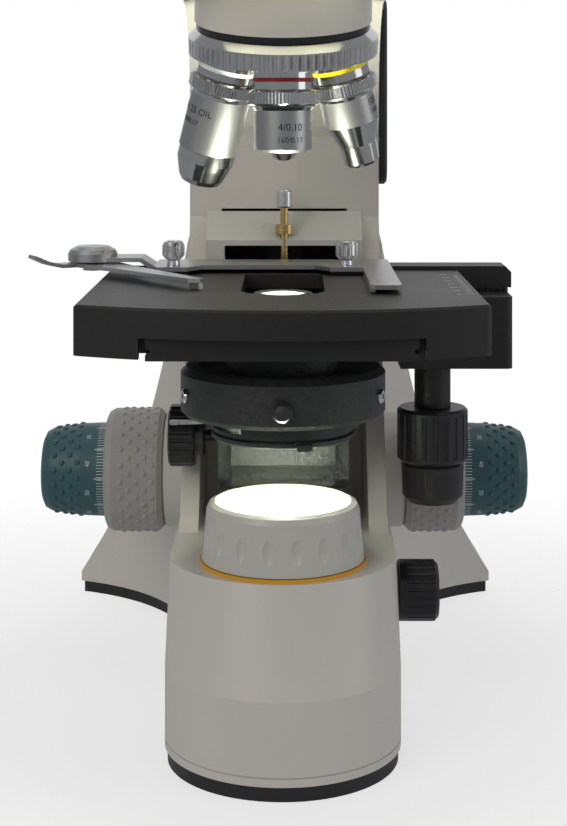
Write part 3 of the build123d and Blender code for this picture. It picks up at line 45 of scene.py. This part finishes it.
class Value:
    """A shader socket that can be used in a formula."""

    def __init__(self, graph, socket):
        self.graph = graph
        self.socket = socket

    def math(self, operation, *others):
        return self.graph.node("ShaderNodeMath", {"operation": operation}, [self, *others])

    def __add__(self, other):
        return self.math("ADD", other)

    def __sub__(self, other):
        return self.math("SUBTRACT", other)

    def __mul__(self, other):
        return self.math("MULTIPLY", other)

    def __truediv__(self, other):
        return self.math("DIVIDE", other)

    def __rsub__(self, other):
        return self.math("MULTIPLY_ADD", -1.0, other)

    def __rtruediv__(self, other):
        return self.math("POWER", -1.0) * other

    __radd__ = __add__
    __rmul__ = __mul__

    def sine(self):
        return self.math("SINE")

    def size(self):
        return self.math("ABSOLUTE")

    def fraction(self):
        return self.math("FRACT")

    def arctangent(self, other):
        return self.math("ARCTAN2", other)

    def above(self, edge):
        return self.math("GREATER_THAN", edge)

    def below(self, edge):
        return self.math("LESS_THAN", edge)

    def between(self, low, high):
        return self.above(low) * self.below(high)

    def clamped(self):
        return self.graph.node("ShaderNodeClamp", {}, [self, 0.0, 1.0])


class Graph:
    """The nodes of one material."""

    def __init__(self, name):
        self.material = bpy.data.materials.new(name)
        self.material.use_nodes = True
        self.tree = self.material.node_tree
        self.surface = self.tree.nodes["Principled BSDF"]
        self.place = self.node("ShaderNodeTexCoord", {}, [], "Object")

    def node(self, kind, settings, inputs, output=0):
        made = self.tree.nodes.new(kind)
        for key, value in settings.items():
            setattr(made, key, value)
        pairs = inputs.items() if isinstance(inputs, dict) else enumerate(inputs)
        for key, value in pairs:
            if isinstance(value, Value):
                self.tree.links.new(value.socket, made.inputs[key])
            else:
                made.inputs[key].default_value = value
        return Value(self, made.outputs[output])

    def noise(self, scale, detail=3.0, place=None):
        return self.node(
            "ShaderNodeTexNoise", {}, {"Vector": place or self.place, "Scale": scale, "Detail": detail}
        )

    def streaks(self, detail, first, second=0.0):
        """Noise over one or two coordinates, each stretched by its own factor."""
        stretched = self.node("ShaderNodeCombineXYZ", {}, [first, second, 0.0])
        return self.noise(1.0, detail, stretched)

    def mixed(self, share, first, second):
        """The second colour over the first one, by a share from 0 to 1."""
        inputs = {0: share, 6: first, 7: second}
        return self.node("ShaderNodeMix", {"data_type": "RGBA"}, inputs, 2)

    def vector(self, operation, inputs, output="Vector"):
        return self.node("ShaderNodeVectorMath", {"operation": operation}, inputs, output)

    def along(self, origin, direction):
        """Distance from a point along a direction."""
        moved = self.vector("SUBTRACT", [self.place, tuple(origin)])
        return self.vector("DOT_PRODUCT", [moved, tuple(direction)], "Value")

    def coordinates(self):
        """Across, depth and height of a point."""
        apart = self.node("ShaderNodeSeparateXYZ", {}, [self.place])
        return [Value(self, socket) for socket in apart.socket.node.outputs]

    def set(self, **values):
        for key, value in values.items():
            socket = self.surface.inputs[key.replace("_", " ")]
            if isinstance(value, Value):
                self.tree.links.new(value.socket, socket)
            else:
                socket.default_value = value

    def bump(self, height, distance, strength=1.0):
        self.set(Normal=self.node(
            "ShaderNodeBump", {}, {"Height": height, "Distance": distance, "Strength": strength},
            "Normal",
        ))


def colour(red, green, blue):
    return (red, green, blue, 1.0)


def shaded(graph, base, spread, scale):
    """The base colour with a faint uneven tone."""
    dark = colour(*(channel * (1 - spread) for channel in base[:3]))
    light = colour(*(min(1.0, channel * (1 + spread)) for channel in base[:3]))
    return graph.mixed(graph.noise(scale), dark, light)


def skin_tone(graph, base):
    return shaded(graph, base, 0.025, 25.0)


def orange_peel(graph, rough, grain=900.0, relief=0.02 * MM):
    """Surface of a sprayed or moulded skin."""
    graph.set(Roughness=graph.noise(45.0) * 0.1 + (rough - 0.05))
    graph.bump(graph.noise(grain, 2.0), relief, 0.6)


def paint(name, base, rough, grain, relief=0.02 * MM):
    graph = Graph(name)
    graph.set(Base_Color=skin_tone(graph, base))
    orange_peel(graph, rough, grain, relief)
    return graph.material


def fine_lines(graph, rough, streak=2600.0, axis=UP):
    """Surface of turned or brushed metal, with lines across one direction."""
    lines = graph.streaks(2.0, graph.along(ORIGIN, axis) * streak)
    graph.set(Metallic=1.0, Roughness=lines * 0.16 + (rough - 0.08))
    graph.bump(lines, 0.008 * MM, 0.5)


def metal(name, base, rough, streak=2600.0, axis=UP):
    graph = Graph(name)
    graph.set(Base_Color=shaded(graph, base, 0.05, 90.0))
    fine_lines(graph, rough, streak, axis)
    return graph.material


# Places of the turned pieces, as origin, across, aside and along

def axes(origin, along, across):
    along = Vector(along).normalized()
    across = Vector(across).normalized()
    return Vector(origin) * MM, across, along.cross(across), along


TILT = radians(14.0)
SEAT_CIRCLE = 18.5
SHOULDER = 226.8
turret_up = Vector((0, -sin(TILT), cos(TILT)))
turret_side = Vector(ACROSS)
turret_back = Vector((0, cos(TILT), sin(TILT)))
turret_middle = Vector((0, SEAT_CIRCLE * cos(TILT), SHOULDER + SEAT_CIRCLE * sin(TILT)))
turret_axes = axes(turret_middle, turret_up, turret_side)

KNOB_CENTRE = (0, 100, 73)
knob_axes = {side: axes(KNOB_CENTRE, (side, 0, 0), DEEP) for side in (-1, 1)}


def objective_axes(turn):
    """Place of the objective that stands this many degrees round the turret."""
    angle = radians(turn)
    out = turret_side * sin(angle) - turret_back * cos(angle)
    along = turret_up * cos(TILT) - out * sin(TILT)
    across = turret_side * cos(angle) + turret_back * sin(angle)
    return axes(turret_middle + out * SEAT_CIRCLE, along, across)


def turned_coordinates(graph, place):
    """Angle round a turned piece's axis, and height along it."""
    origin, across, aside, along = place
    angle = graph.along(origin, across).arctangent(graph.along(origin, aside))
    return angle, graph.along(origin, along)


# Materials

CREAM = colour(0.70, 0.665, 0.60)
HOLLOW_SIDE = 24.8 * MM
HOLLOW_FRONT, HOLLOW_BACK = 100.3 * MM, 139 * MM
HOLLOW_LOW, HOLLOW_HIGH = 37 * MM, 176 * MM


def casting_paint():
    """Light paint outside, and painted shade in the hollow behind the stage, where the walls are
    coloured near black.
    """
    graph = Graph("cream_paint")
    across, depth, height = graph.coordinates()
    hollow_shade = (
        across.size().below(HOLLOW_SIDE)
        * depth.between(HOLLOW_FRONT, HOLLOW_BACK)
        * height.between(HOLLOW_LOW, HOLLOW_HIGH)
    )
    # Painted shade: the hollow's walls are cream, but are coloured near black here to stand for the
    # shade inside it.
    graph.set(Base_Color=graph.mixed(hollow_shade, skin_tone(graph, CREAM), colour(0.02, 0.018, 0.016)))
    orange_peel(graph, 0.36)
    return graph.material


def crinkled_black():
    """Thick crinkle finish of the condenser parts."""
    graph = Graph("crinkled_black")
    wrinkle = graph.noise(650.0, 4.0)
    graph.set(
        Base_Color=graph.mixed(wrinkle, colour(0.012, 0.015, 0.013), colour(0.05, 0.055, 0.05)),
        Roughness=wrinkle * 0.3 + 0.3,
    )
    graph.bump(wrinkle, 0.22 * MM)
    return graph.material


RUBBED_HALF_DEPTH = 20 * MM
STAGE_SKIN = 154.4 * MM


def stage_black():
    """Matt black of the stage, rubbed a little brighter where slides run."""
    graph = Graph("stage_black")
    across, depth, height = graph.coordinates()
    scratches = ((graph.streaks(4.0, across * 25.0, depth * 900.0) - 0.52) * 4.0).clamped()
    run = depth.between(-RUBBED_HALF_DEPTH, RUBBED_HALF_DEPTH) * height.above(STAGE_SKIN)
    rubbed = scratches * run
    grain = graph.noise(1100.0)
    base = graph.mixed(grain, colour(0.008, 0.007, 0.006), colour(0.018, 0.016, 0.014))
    graph.set(
        Base_Color=graph.mixed(rubbed * 0.35, base, colour(0.10, 0.095, 0.09)),
        Roughness=grain * 0.2 + 0.36 - rubbed * 0.08,
    )
    graph.bump(grain, 0.03 * MM, 0.6)
    return graph.material


DIVISIONS = 100
NUMBERED_DIVISIONS = 10
TICK_START, TICK_END, LONG_TICK_END = 69.3 * MM, 71.8 * MM, 72.8 * MM


def knob_teal():
    """Fine focus knob: a grip, and an inner band with a hundred divisions."""
    graph = Graph("knob_teal")
    angle, height = turned_coordinates(graph, knob_axes[1])
    apart = height.size()
    division = (angle * (DIVISIONS / (2 * pi))).fraction()
    tenth = (angle * (NUMBERED_DIVISIONS / (2 * pi))).fraction()
    tick = (division - 0.5).size().below(0.10) * apart.between(TICK_START, TICK_END)
    long_tick = (tenth - 0.5).size().below(0.014) * apart.between(TICK_START, LONG_TICK_END)
    base = shaded(graph, colour(0.040, 0.115, 0.128), 0.08, 45.0)
    graph.set(
        Base_Color=graph.mixed((tick + long_tick).clamped(), base, colour(0.75, 0.78, 0.76)),
        Roughness=graph.noise(60.0) * 0.14 + 0.36,
    )
    graph.bump(graph.noise(1500.0, 2.0), 0.02 * MM, 0.5)
    return graph.material


RIM_LOW, RIM_HIGH = 3.6 * MM, 9.2 * MM
RIM_RIDGES = 150.0


def turret_chrome():
    """Polished turret with a fine straight knurl round its rim."""
    graph = Graph("turret_chrome")
    angle, height = turned_coordinates(graph, turret_axes)
    rim = height.between(RIM_LOW, RIM_HIGH)
    graph.set(
        Base_Color=shaded(graph, colour(0.62, 0.62, 0.61), 0.06, 60.0), Metallic=1.0,
        Roughness=graph.noise(70.0) * 0.06 + 0.12 + rim * 0.10,
    )
    graph.bump((angle * RIM_RIDGES).sine() * rim * 0.5 + 0.5, 0.4 * MM)
    return graph.material


GRIP_LOW, GRIP_HIGH = -10.2 * MM, -6.5 * MM
GRIP_RIDGES = 64.0
BARREL_TOP = -12.6 * MM


def objective_metal(name, turn, band, band_low, band_high, barrel_end):
    """Chrome collar with a colour band, knurled grip and satin barrel of one objective."""
    graph = Graph(name)
    angle, height = turned_coordinates(graph, objective_axes(turn))
    grip = height.between(GRIP_LOW, GRIP_HIGH)
    ring = height.between(band_low * MM, band_high * MM)
    barrel = height.between(barrel_end * MM, BARREL_TOP)
    base = graph.mixed(barrel, colour(0.60, 0.60, 0.59), colour(0.43, 0.43, 0.425))
    base = graph.mixed(graph.noise(120.0) * 0.12, base, colour(0.35, 0.35, 0.34))
    lines = graph.streaks(2.0, height * 5000.0)
    graph.set(
        Base_Color=graph.mixed(ring, base, band), Metallic=1.0 - ring * 0.85,
        Roughness=lines * 0.10 + 0.09 + barrel * 0.24 + ring * 0.2,
    )
    graph.bump((angle * GRIP_RIDGES).sine() * grip * 0.5 + lines * 0.01, 0.6 * MM)
    return graph.material


def lens_glass(name, tint):
    """Coated lens."""
    graph = Graph(name)
    graph.set(
        Base_Color=graph.mixed(graph.noise(20.0), tint, colour(0.9, 0.95, 1.0)),
        Roughness=graph.noise(30.0) * 0.02 + 0.01, Transmission_Weight=0.85, IOR=1.5,
    )
    return graph.material


FIELD_LENS_RADIUS = 22.6 * MM


def lamp_glass():
    """Field lens with the lamp shining through, brightest in the middle."""
    graph = Graph("lamp_glass")
    flat = graph.vector("MULTIPLY", [graph.place, (1.0, 1.0, 0.0)])
    share = (graph.vector("LENGTH", [flat], "Value") / FIELD_LENS_RADIUS).clamped()
    graph.set(
        Base_Color=colour(0.9, 0.92, 0.85), Roughness=graph.noise(300.0) * 0.1 + 0.3,
        Emission_Color=graph.mixed(share, colour(1.0, 1.0, 0.93), colour(0.80, 0.86, 0.66)),
        Emission_Strength=2.2,
    )
    return graph.material


TOP_LENS_HEIGHT = 149 * MM


def condenser_glass():
    """Condenser lenses, the top one bright with the light of the lamp."""
    graph = Graph("condenser_glass")
    glowing_top = graph.along(ORIGIN, UP).above(TOP_LENS_HEIGHT)
    # Painted light: the top lens glows by emission in place of the lamp's light falling on it, and the
    # lower lenses glow faintly.
    graph.set(
        Base_Color=graph.mixed(graph.noise(40.0), colour(0.8, 0.85, 0.8), colour(0.9, 0.92, 0.9)),
        Roughness=graph.noise(60.0) * 0.05 + 0.08,
        Emission_Color=graph.mixed(glowing_top, colour(0.05, 0.06, 0.05), colour(0.95, 1.0, 0.88)),
        Emission_Strength=1.6,
    )
    return graph.material


STOP_HEAD_LOW = 176.5 * MM


def stop_metal():
    """Brass screw and lock ring under a chrome head."""
    graph = Graph("stop_metal")
    head = graph.along(ORIGIN, UP).above(STOP_HEAD_LOW)
    tone = graph.noise(90.0)
    brass_tone = graph.mixed(tone, colour(0.60, 0.42, 0.17), colour(0.70, 0.51, 0.23))
    chrome_tone = graph.mixed(tone, colour(0.66, 0.66, 0.66), colour(0.76, 0.76, 0.76))
    graph.set(Base_Color=graph.mixed(head, brass_tone, chrome_tone))
    fine_lines(graph, 0.28)
    return graph.material


cream_paint = casting_paint()
cream_plastic = paint("cream_plastic", colour(0.60, 0.585, 0.53), 0.3, 1500.0)
black_plastic = paint("black_plastic", colour(0.018, 0.018, 0.019), 0.42, 1200.0)
black_gloss = paint("black_gloss", colour(0.012, 0.012, 0.013), 0.22, 600.0, 0.01 * MM)
grey_plastic = paint("grey_plastic", colour(0.40, 0.385, 0.36), 0.45, 1400.0)
yellow_plastic = paint("yellow_plastic", colour(0.80, 0.40, 0.03), 0.4, 1300.0)
rubber = paint("rubber", colour(0.014, 0.014, 0.014), 0.7, 2000.0, 0.04 * MM)
board_green = paint("board_green", colour(0.02, 0.13, 0.05), 0.4, 700.0)
chrome = metal("chrome", colour(0.72, 0.72, 0.72), 0.16)
satin_steel = metal("satin_steel", colour(0.50, 0.50, 0.50), 0.34, 1800.0, DEEP)
shaft_steel = metal("shaft_steel", colour(0.55, 0.55, 0.55), 0.3, 1500.0, ACROSS)
brass = metal("brass", colour(0.66, 0.47, 0.20), 0.28)
crinkle = crinkled_black()
teal = knob_teal()
ink = paint("ink", colour(0.02, 0.02, 0.02), 0.5, 2000.0)
white_ink = paint("white_ink", colour(0.80, 0.80, 0.78), 0.5, 2000.0)
RED = colour(0.30, 0.006, 0.008)
YELLOW = colour(0.85, 0.62, 0.01)
BLUE = colour(0.02, 0.10, 0.42)
WHITE = colour(0.85, 0.85, 0.85)
looks = {
    cream_paint: "base_body pillar upper_arm head_housing left_eye_arm right_eye_arm",
    cream_plastic: "carriage_cover focus_hubs lamp_ring",
    black_plastic: "bottom_cover rear_sockets power_rocker arm_side_plate hub_cap y_knob x_knob",
    black_gloss: "brightness_knob height_knob nosepiece_mount left_eyepiece right_eyepiece",
    rubber: "dioptre_ring",
    grey_plastic: "coarse_knobs",
    yellow_plastic: "trim_ring",
    board_green: "lamp_board driver_board",
    chrome: "holder_screw_left holder_screw_right centring_screws head_lock_screw dimmer",
    satin_steel: "cover_screws slide_holder slide_finger iris_lever",
    shaft_steel: "coarse_shaft fine_shaft",
    brass: "focus_rack",
    stop_metal(): "stop_screw",
    crinkle: "guide_rail condenser_guide condenser_holder condenser_body filter_holder stage_bracket",
    stage_black(): "lower_plate stage_top drive_block x_bar",
    teal: "fine_knobs",
    turret_chrome(): "turret",
    objective_metal("metal_4x", 0, RED, -3.0, -1.6, -30): "objective_4x",
    objective_metal("metal_10x", 90, YELLOW, -2.6, -1.2, -22): "objective_10x",
    objective_metal("metal_40x", 180, BLUE, -3.0, -1.6, -28): "objective_40x",
    objective_metal("metal_100x", 270, WHITE, -3.0, -1.6, -32): "objective_100x",
    lens_glass("coated_glass", colour(0.75, 0.85, 0.9)): "objective_lenses",
    condenser_glass(): "condenser_lenses",
    lens_glass("eye_glass", colour(0.7, 0.8, 0.95)): "left_eye_lens right_eye_lens",
    lamp_glass(): "field_lens",
}
for material, names in looks.items():
    for name in names.split():
        nodes[name].data.materials.clear()
        nodes[name].data.materials.append(material)


# Added pieces

def added(name, mesh, material, body):
    """A new piece of a mesh, riding on one body."""
    mesh.materials.clear()
    mesh.materials.append(material)
    piece = bpy.data.objects.new(name, mesh)
    bpy.context.scene.collection.objects.link(piece)
    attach(piece, body)
    return piece


def made_piece(name, mesh_maker, material, body, smooth=True):
    """A new piece from a bmesh recipe."""
    shape = bmesh.new()
    mesh_maker(shape)
    bmesh.ops.recalc_face_normals(shape, faces=shape.faces)
    mesh = bpy.data.meshes.new(name)
    shape.to_mesh(mesh)
    shape.free()
    if smooth:
        mesh.shade_smooth()
    return added(name, mesh, material, body)


BUMP_FLATNESS = 0.55


def rounded_bumps(shape, place, radius, heights, count, size):
    """Staggered rows of low round bumps round a knob."""
    origin, across, aside, along = place
    flattened = Matrix.Diagonal((1.0, 1.0, BUMP_FLATNESS, 1.0))
    for row, height in enumerate(heights):
        for step in range(count):
            angle = 2 * pi * (step + 0.5 * (row % 2)) / count
            out = across * cos(angle) + aside * sin(angle)
            turn = out.to_track_quat("Z", "X").to_matrix().to_4x4()
            seat = Matrix.Translation(origin + out * radius(height) + along * height) @ turn
            bmesh.ops.create_uvsphere(
                shape, u_segments=10, v_segments=6, radius=size, matrix=seat @ flattened
            )


SIDES = ((-1, "left"), (1, "right"))
BUMP_PITCH = 3.0
COARSE_GRIP_START, COARSE_GRIP_RADIUS = 50.2, 23.3
FINE_GRIP_START, FINE_GRIP_RADIUS = 79.2, 17.5
FINE_TAPER_START, FINE_TAPER_LENGTH, FINE_TAPER_DROP = 78.3, 11.7, 1.5


def bump_heights(start, rows):
    return [(start + BUMP_PITCH * row) * MM for row in range(rows)]


def coarse_grip(height):
    return COARSE_GRIP_RADIUS * MM


def fine_grip(height):
    """Radius of the fine knob's grip, which narrows towards its end."""
    share = (height / MM - FINE_TAPER_START) / FINE_TAPER_LENGTH
    return (FINE_GRIP_RADIUS - FINE_TAPER_DROP * share) * MM


for side, word in SIDES:
    made_piece(
        f"coarse_bumps_{word}",
        lambda shape: rounded_bumps(
            shape, knob_axes[side], coarse_grip, bump_heights(COARSE_GRIP_START, 5), 24, 1.25 * MM
        ),
        grey_plastic, "coarse_drive",
    )
    made_piece(
        f"fine_bumps_{word}",
        lambda shape: rounded_bumps(
            shape, knob_axes[side], fine_grip, bump_heights(FINE_GRIP_START, 4), 18, 1.2 * MM
        ),
        teal, "fine_drive",
    )

CUT_PITCH = 0.8 * MM
CUTS_EACH_SIDE = 24


def lettering(name, words, size, material, body, bend):
    """Numbers as a thin mesh: cut into strips, then each point is placed on the object by bend."""
    curve = bpy.data.curves.new(name, "FONT")
    curve.body = words
    curve.size = size
    curve.align_x = "CENTER"
    curve.align_y = "CENTER"
    curve.resolution_u = 3
    holder = bpy.data.objects.new(name + "_text", curve)
    bpy.context.scene.collection.objects.link(holder)
    bpy.context.view_layer.update()
    mesh = bpy.data.meshes.new_from_object(holder)
    bpy.data.objects.remove(holder)
    shape = bmesh.new()
    shape.from_mesh(mesh)
    for step in range(-CUTS_EACH_SIDE, CUTS_EACH_SIDE + 1):
        whole = shape.verts[:] + shape.edges[:] + shape.faces[:]
        bmesh.ops.bisect_plane(
            shape, geom=whole, plane_co=(step * CUT_PITCH, 0, 0), plane_no=ACROSS, dist=1e-7
        )
    for vertex in shape.verts:
        vertex.co = bend(vertex.co.x, vertex.co.y)
    shape.to_mesh(mesh)
    shape.free()
    return added(name, mesh, material, body)


def round_barrel(place, radius, turn, height):
    """Bend that wraps text round a barrel, read from outside with the axis upright."""
    origin, across, aside, along = place

    def bend(x, y):
        angle = turn + x / radius
        out = across * cos(angle) + aside * sin(angle)
        return origin + out * radius + along * (height + y)

    return bend


def facing(place, direction):
    """Angle round the axis at which a barrel faces a direction."""
    across, aside = place[1:3]
    return atan2(Vector(direction).dot(aside), Vector(direction).dot(across))


# Power, turn, first line, barrel radius, heights of the two lines, and where the text faces
LABELS = (
    ("4x", 0, "4/0.10", 9.6, -18.0, -22.2, (0.28, -1, 0)),
    ("10x", 90, "10/0.25", 9.6, -15.4, -18.6, (1.0, -0.25, 0)),
    ("40x", 180, "40/0.65", 10.2, -18.0, -22.2, (0.3, 1, 0)),
    ("100x", 270, "100/1.25 OIL", 10.3, -18.0, -22.2, (-0.85, -0.55, 0)),
)
TUBE_AND_COVER = "160/0.17"
POWER_SIZE, TUBE_SIZE = 3.4 * MM, 2.6 * MM
INK_THICKNESS = 0.05 * MM
for power, turn, words, radius, high, low, direction in LABELS:
    where = objective_axes(turn)
    skin = radius * MM + INK_THICKNESS
    angle = facing(where, direction)
    lettering(f"power_{power}", words, POWER_SIZE, ink, "nosepiece",
              round_barrel(where, skin, angle, high * MM))
    lettering(f"tube_{power}", TUBE_AND_COVER, TUBE_SIZE, ink, "nosepiece",
              round_barrel(where, skin, angle, low * MM))

DIAL_NUMBER_SIZE = 2.3 * MM
DIAL_RADIUS, DIAL_NUMBER_HEIGHT = 17.85 * MM, 75.2 * MM
for side, word in SIDES:
    for step in range(NUMBERED_DIVISIONS):
        angle = 2 * pi * (step + 0.5) / NUMBERED_DIVISIONS
        lettering(
            f"dial_{word}_{step}", str(step * 10), DIAL_NUMBER_SIZE, white_ink, "fine_drive",
            round_barrel(knob_axes[side], DIAL_RADIUS, side * angle, DIAL_NUMBER_HEIGHT),
        )

SCALE_START = -12
SCALE_EDGE = 62.6
SCALE_NUMBERS = 7
STAGE_NUMBER_SIZE = 2.6 * MM
STAGE_NUMBER_ACROSS = 57.5
NUMBER_HEIGHT, MARK_HEIGHT = 154.55, 154.54
MARK_WIDTH = 0.22
for step in range(SCALE_NUMBERS):
    lettering(
        f"stage_number_{step}", str(step * 10), STAGE_NUMBER_SIZE, white_ink, "stage_table",
        lambda x, y: Vector((
            STAGE_NUMBER_ACROSS * MM + x, (SCALE_START + 10 * step) * MM + y, NUMBER_HEIGHT * MM
        )),
    )


def stage_marks(shape):
    """Fine scale along the right edge of the stage, a mark for each millimetre."""
    for step in range(10 * (SCALE_NUMBERS - 1) + 1):
        length = 3.2 if step % 10 == 0 else 2.4 if step % 5 == 0 else 1.6
        middle = Vector((SCALE_EDGE - length / 2, SCALE_START + step, MARK_HEIGHT)) * MM
        size = Matrix.Diagonal((length * MM, MARK_WIDTH * MM, 1.0, 1.0))
        bmesh.ops.create_grid(
            shape, x_segments=1, y_segments=1, size=0.5, matrix=Matrix.Translation(middle) @ size
        )


made_piece("stage_scale", stage_marks, white_ink, "stage_table", smooth=False)


# Table, which fades into the white background

FLOOR_MIDDLE = (0.0, 0.06, 0.0)
FADE_RADIUS = 0.34
room = bpy.data.meshes.new("table_top")
shape = bmesh.new()
bmesh.ops.create_grid(shape, x_segments=1, y_segments=1, size=6.0)
shape.to_mesh(room)
shape.free()
floor = bpy.data.objects.new("table_top", room)
bpy.context.scene.collection.objects.link(floor)
floor_graph = Graph("white_table")
away = floor_graph.vector("DISTANCE", [floor_graph.place, FLOOR_MIDDLE], "Value")
floor_graph.set(
    Base_Color=shaded(floor_graph, colour(0.93, 0.93, 0.93), 0.01, 3.0), Roughness=0.8,
    Alpha=((FADE_RADIUS - away) * 4.5).clamped() * 0.35,
)
floor.data.materials.append(floor_graph.material)


# World: white to the camera, a dim cool sky to the object

world = bpy.context.scene.world or bpy.data.worlds.new("studio")
bpy.context.scene.world = world
world.use_nodes = True
sky = world.node_tree
sky.nodes.clear()
rays = sky.nodes.new("ShaderNodeLightPath")
seen = sky.nodes.new("ShaderNodeBackground")
seen.inputs["Color"].default_value = (1, 1, 1, 1)
seen.inputs["Strength"].default_value = 1.0
lit = sky.nodes.new("ShaderNodeBackground")
lit.inputs["Color"].default_value = (0.92, 0.95, 1.0, 1)
lit.inputs["Strength"].default_value = 0.30
choice = sky.nodes.new("ShaderNodeMixShader")
out = sky.nodes.new("ShaderNodeOutputWorld")
sky.links.new(rays.outputs["Is Camera Ray"], choice.inputs[0])
sky.links.new(lit.outputs[0], choice.inputs[1])
sky.links.new(seen.outputs[0], choice.inputs[2])
sky.links.new(choice.outputs[0], out.inputs[0])


# Lights

def new_light(name, kind, place, power, tint):
    """A light at a place, and its settings."""
    data = bpy.data.lights.new(name, kind)
    data.energy = power
    data.color = tint
    light = bpy.data.objects.new(name, data)
    light.location = place
    bpy.context.scene.collection.objects.link(light)
    return light, data


LIT_POINT = (0, 0.03, 0.15)


def soft_light(name, place, width, height, power, tint=(1, 1, 1)):
    """A rectangle of light that faces the microscope."""
    light, data = new_light(name, "AREA", place, power, tint)
    data.shape = "RECTANGLE"
    data.size = width
    data.size_y = height
    light.rotation_euler = (Vector(place) - Vector(LIT_POINT)).to_track_quat("Z", "Y").to_euler()


LAMP_TINT = (0.97, 1.0, 0.82)


def upward_beam(name, height, power, spread, radius):
    """Light of the lamp, thrown up along the optical axis."""
    light, data = new_light(name, "SPOT", (0, 0, height), power, LAMP_TINT)
    data.spot_size = radians(spread)
    data.spot_blend = 0.6
    data.shadow_soft_size = radius
    light.rotation_euler = (pi, 0, 0)


soft_light("front_left", (-0.9, -1.1, 0.9), 0.9, 0.9, 6.5, (1.0, 0.96, 0.90))
soft_light("right_side", (1.2, -0.3, 0.5), 0.7, 1.0, 2.6)
soft_light("overhead", (0, 0.1, 1.5), 1.2, 1.2, 3.0)
soft_light("behind", (0, 1.5, 0.7), 2.0, 1.2, 3.5)
upward_beam("lamp_beam", 88.5 * MM, 10.0, 110, 15 * MM)
upward_beam("beam_through_stage", 157.5 * MM, 0.8, 130, 5 * MM)


# Camera: level, with the lens and the shift that the photograph's perspective gives

CAMERA_PLACE = (0.003, -0.563, 0.2195)
FOCAL_LENGTH, SENSOR_WIDTH = 73.7, 36
SHIFT_ACROSS, SHIFT_UP = -0.0103, -0.385
camera_data = bpy.data.cameras.new("photo_view")
camera_data.sensor_width = SENSOR_WIDTH
camera_data.sensor_fit = "AUTO"
camera_data.lens = FOCAL_LENGTH
camera_data.shift_x = SHIFT_ACROSS
camera_data.shift_y = SHIFT_UP
camera_data.clip_start = 0.01
camera = bpy.data.objects.new("photo_view", camera_data)
camera.location = CAMERA_PLACE
camera.rotation_euler = (radians(90), 0, 0)
bpy.context.scene.collection.objects.link(camera)
bpy.context.scene.camera = camera
bpy.context.scene.view_settings.view_transform = "Standard"
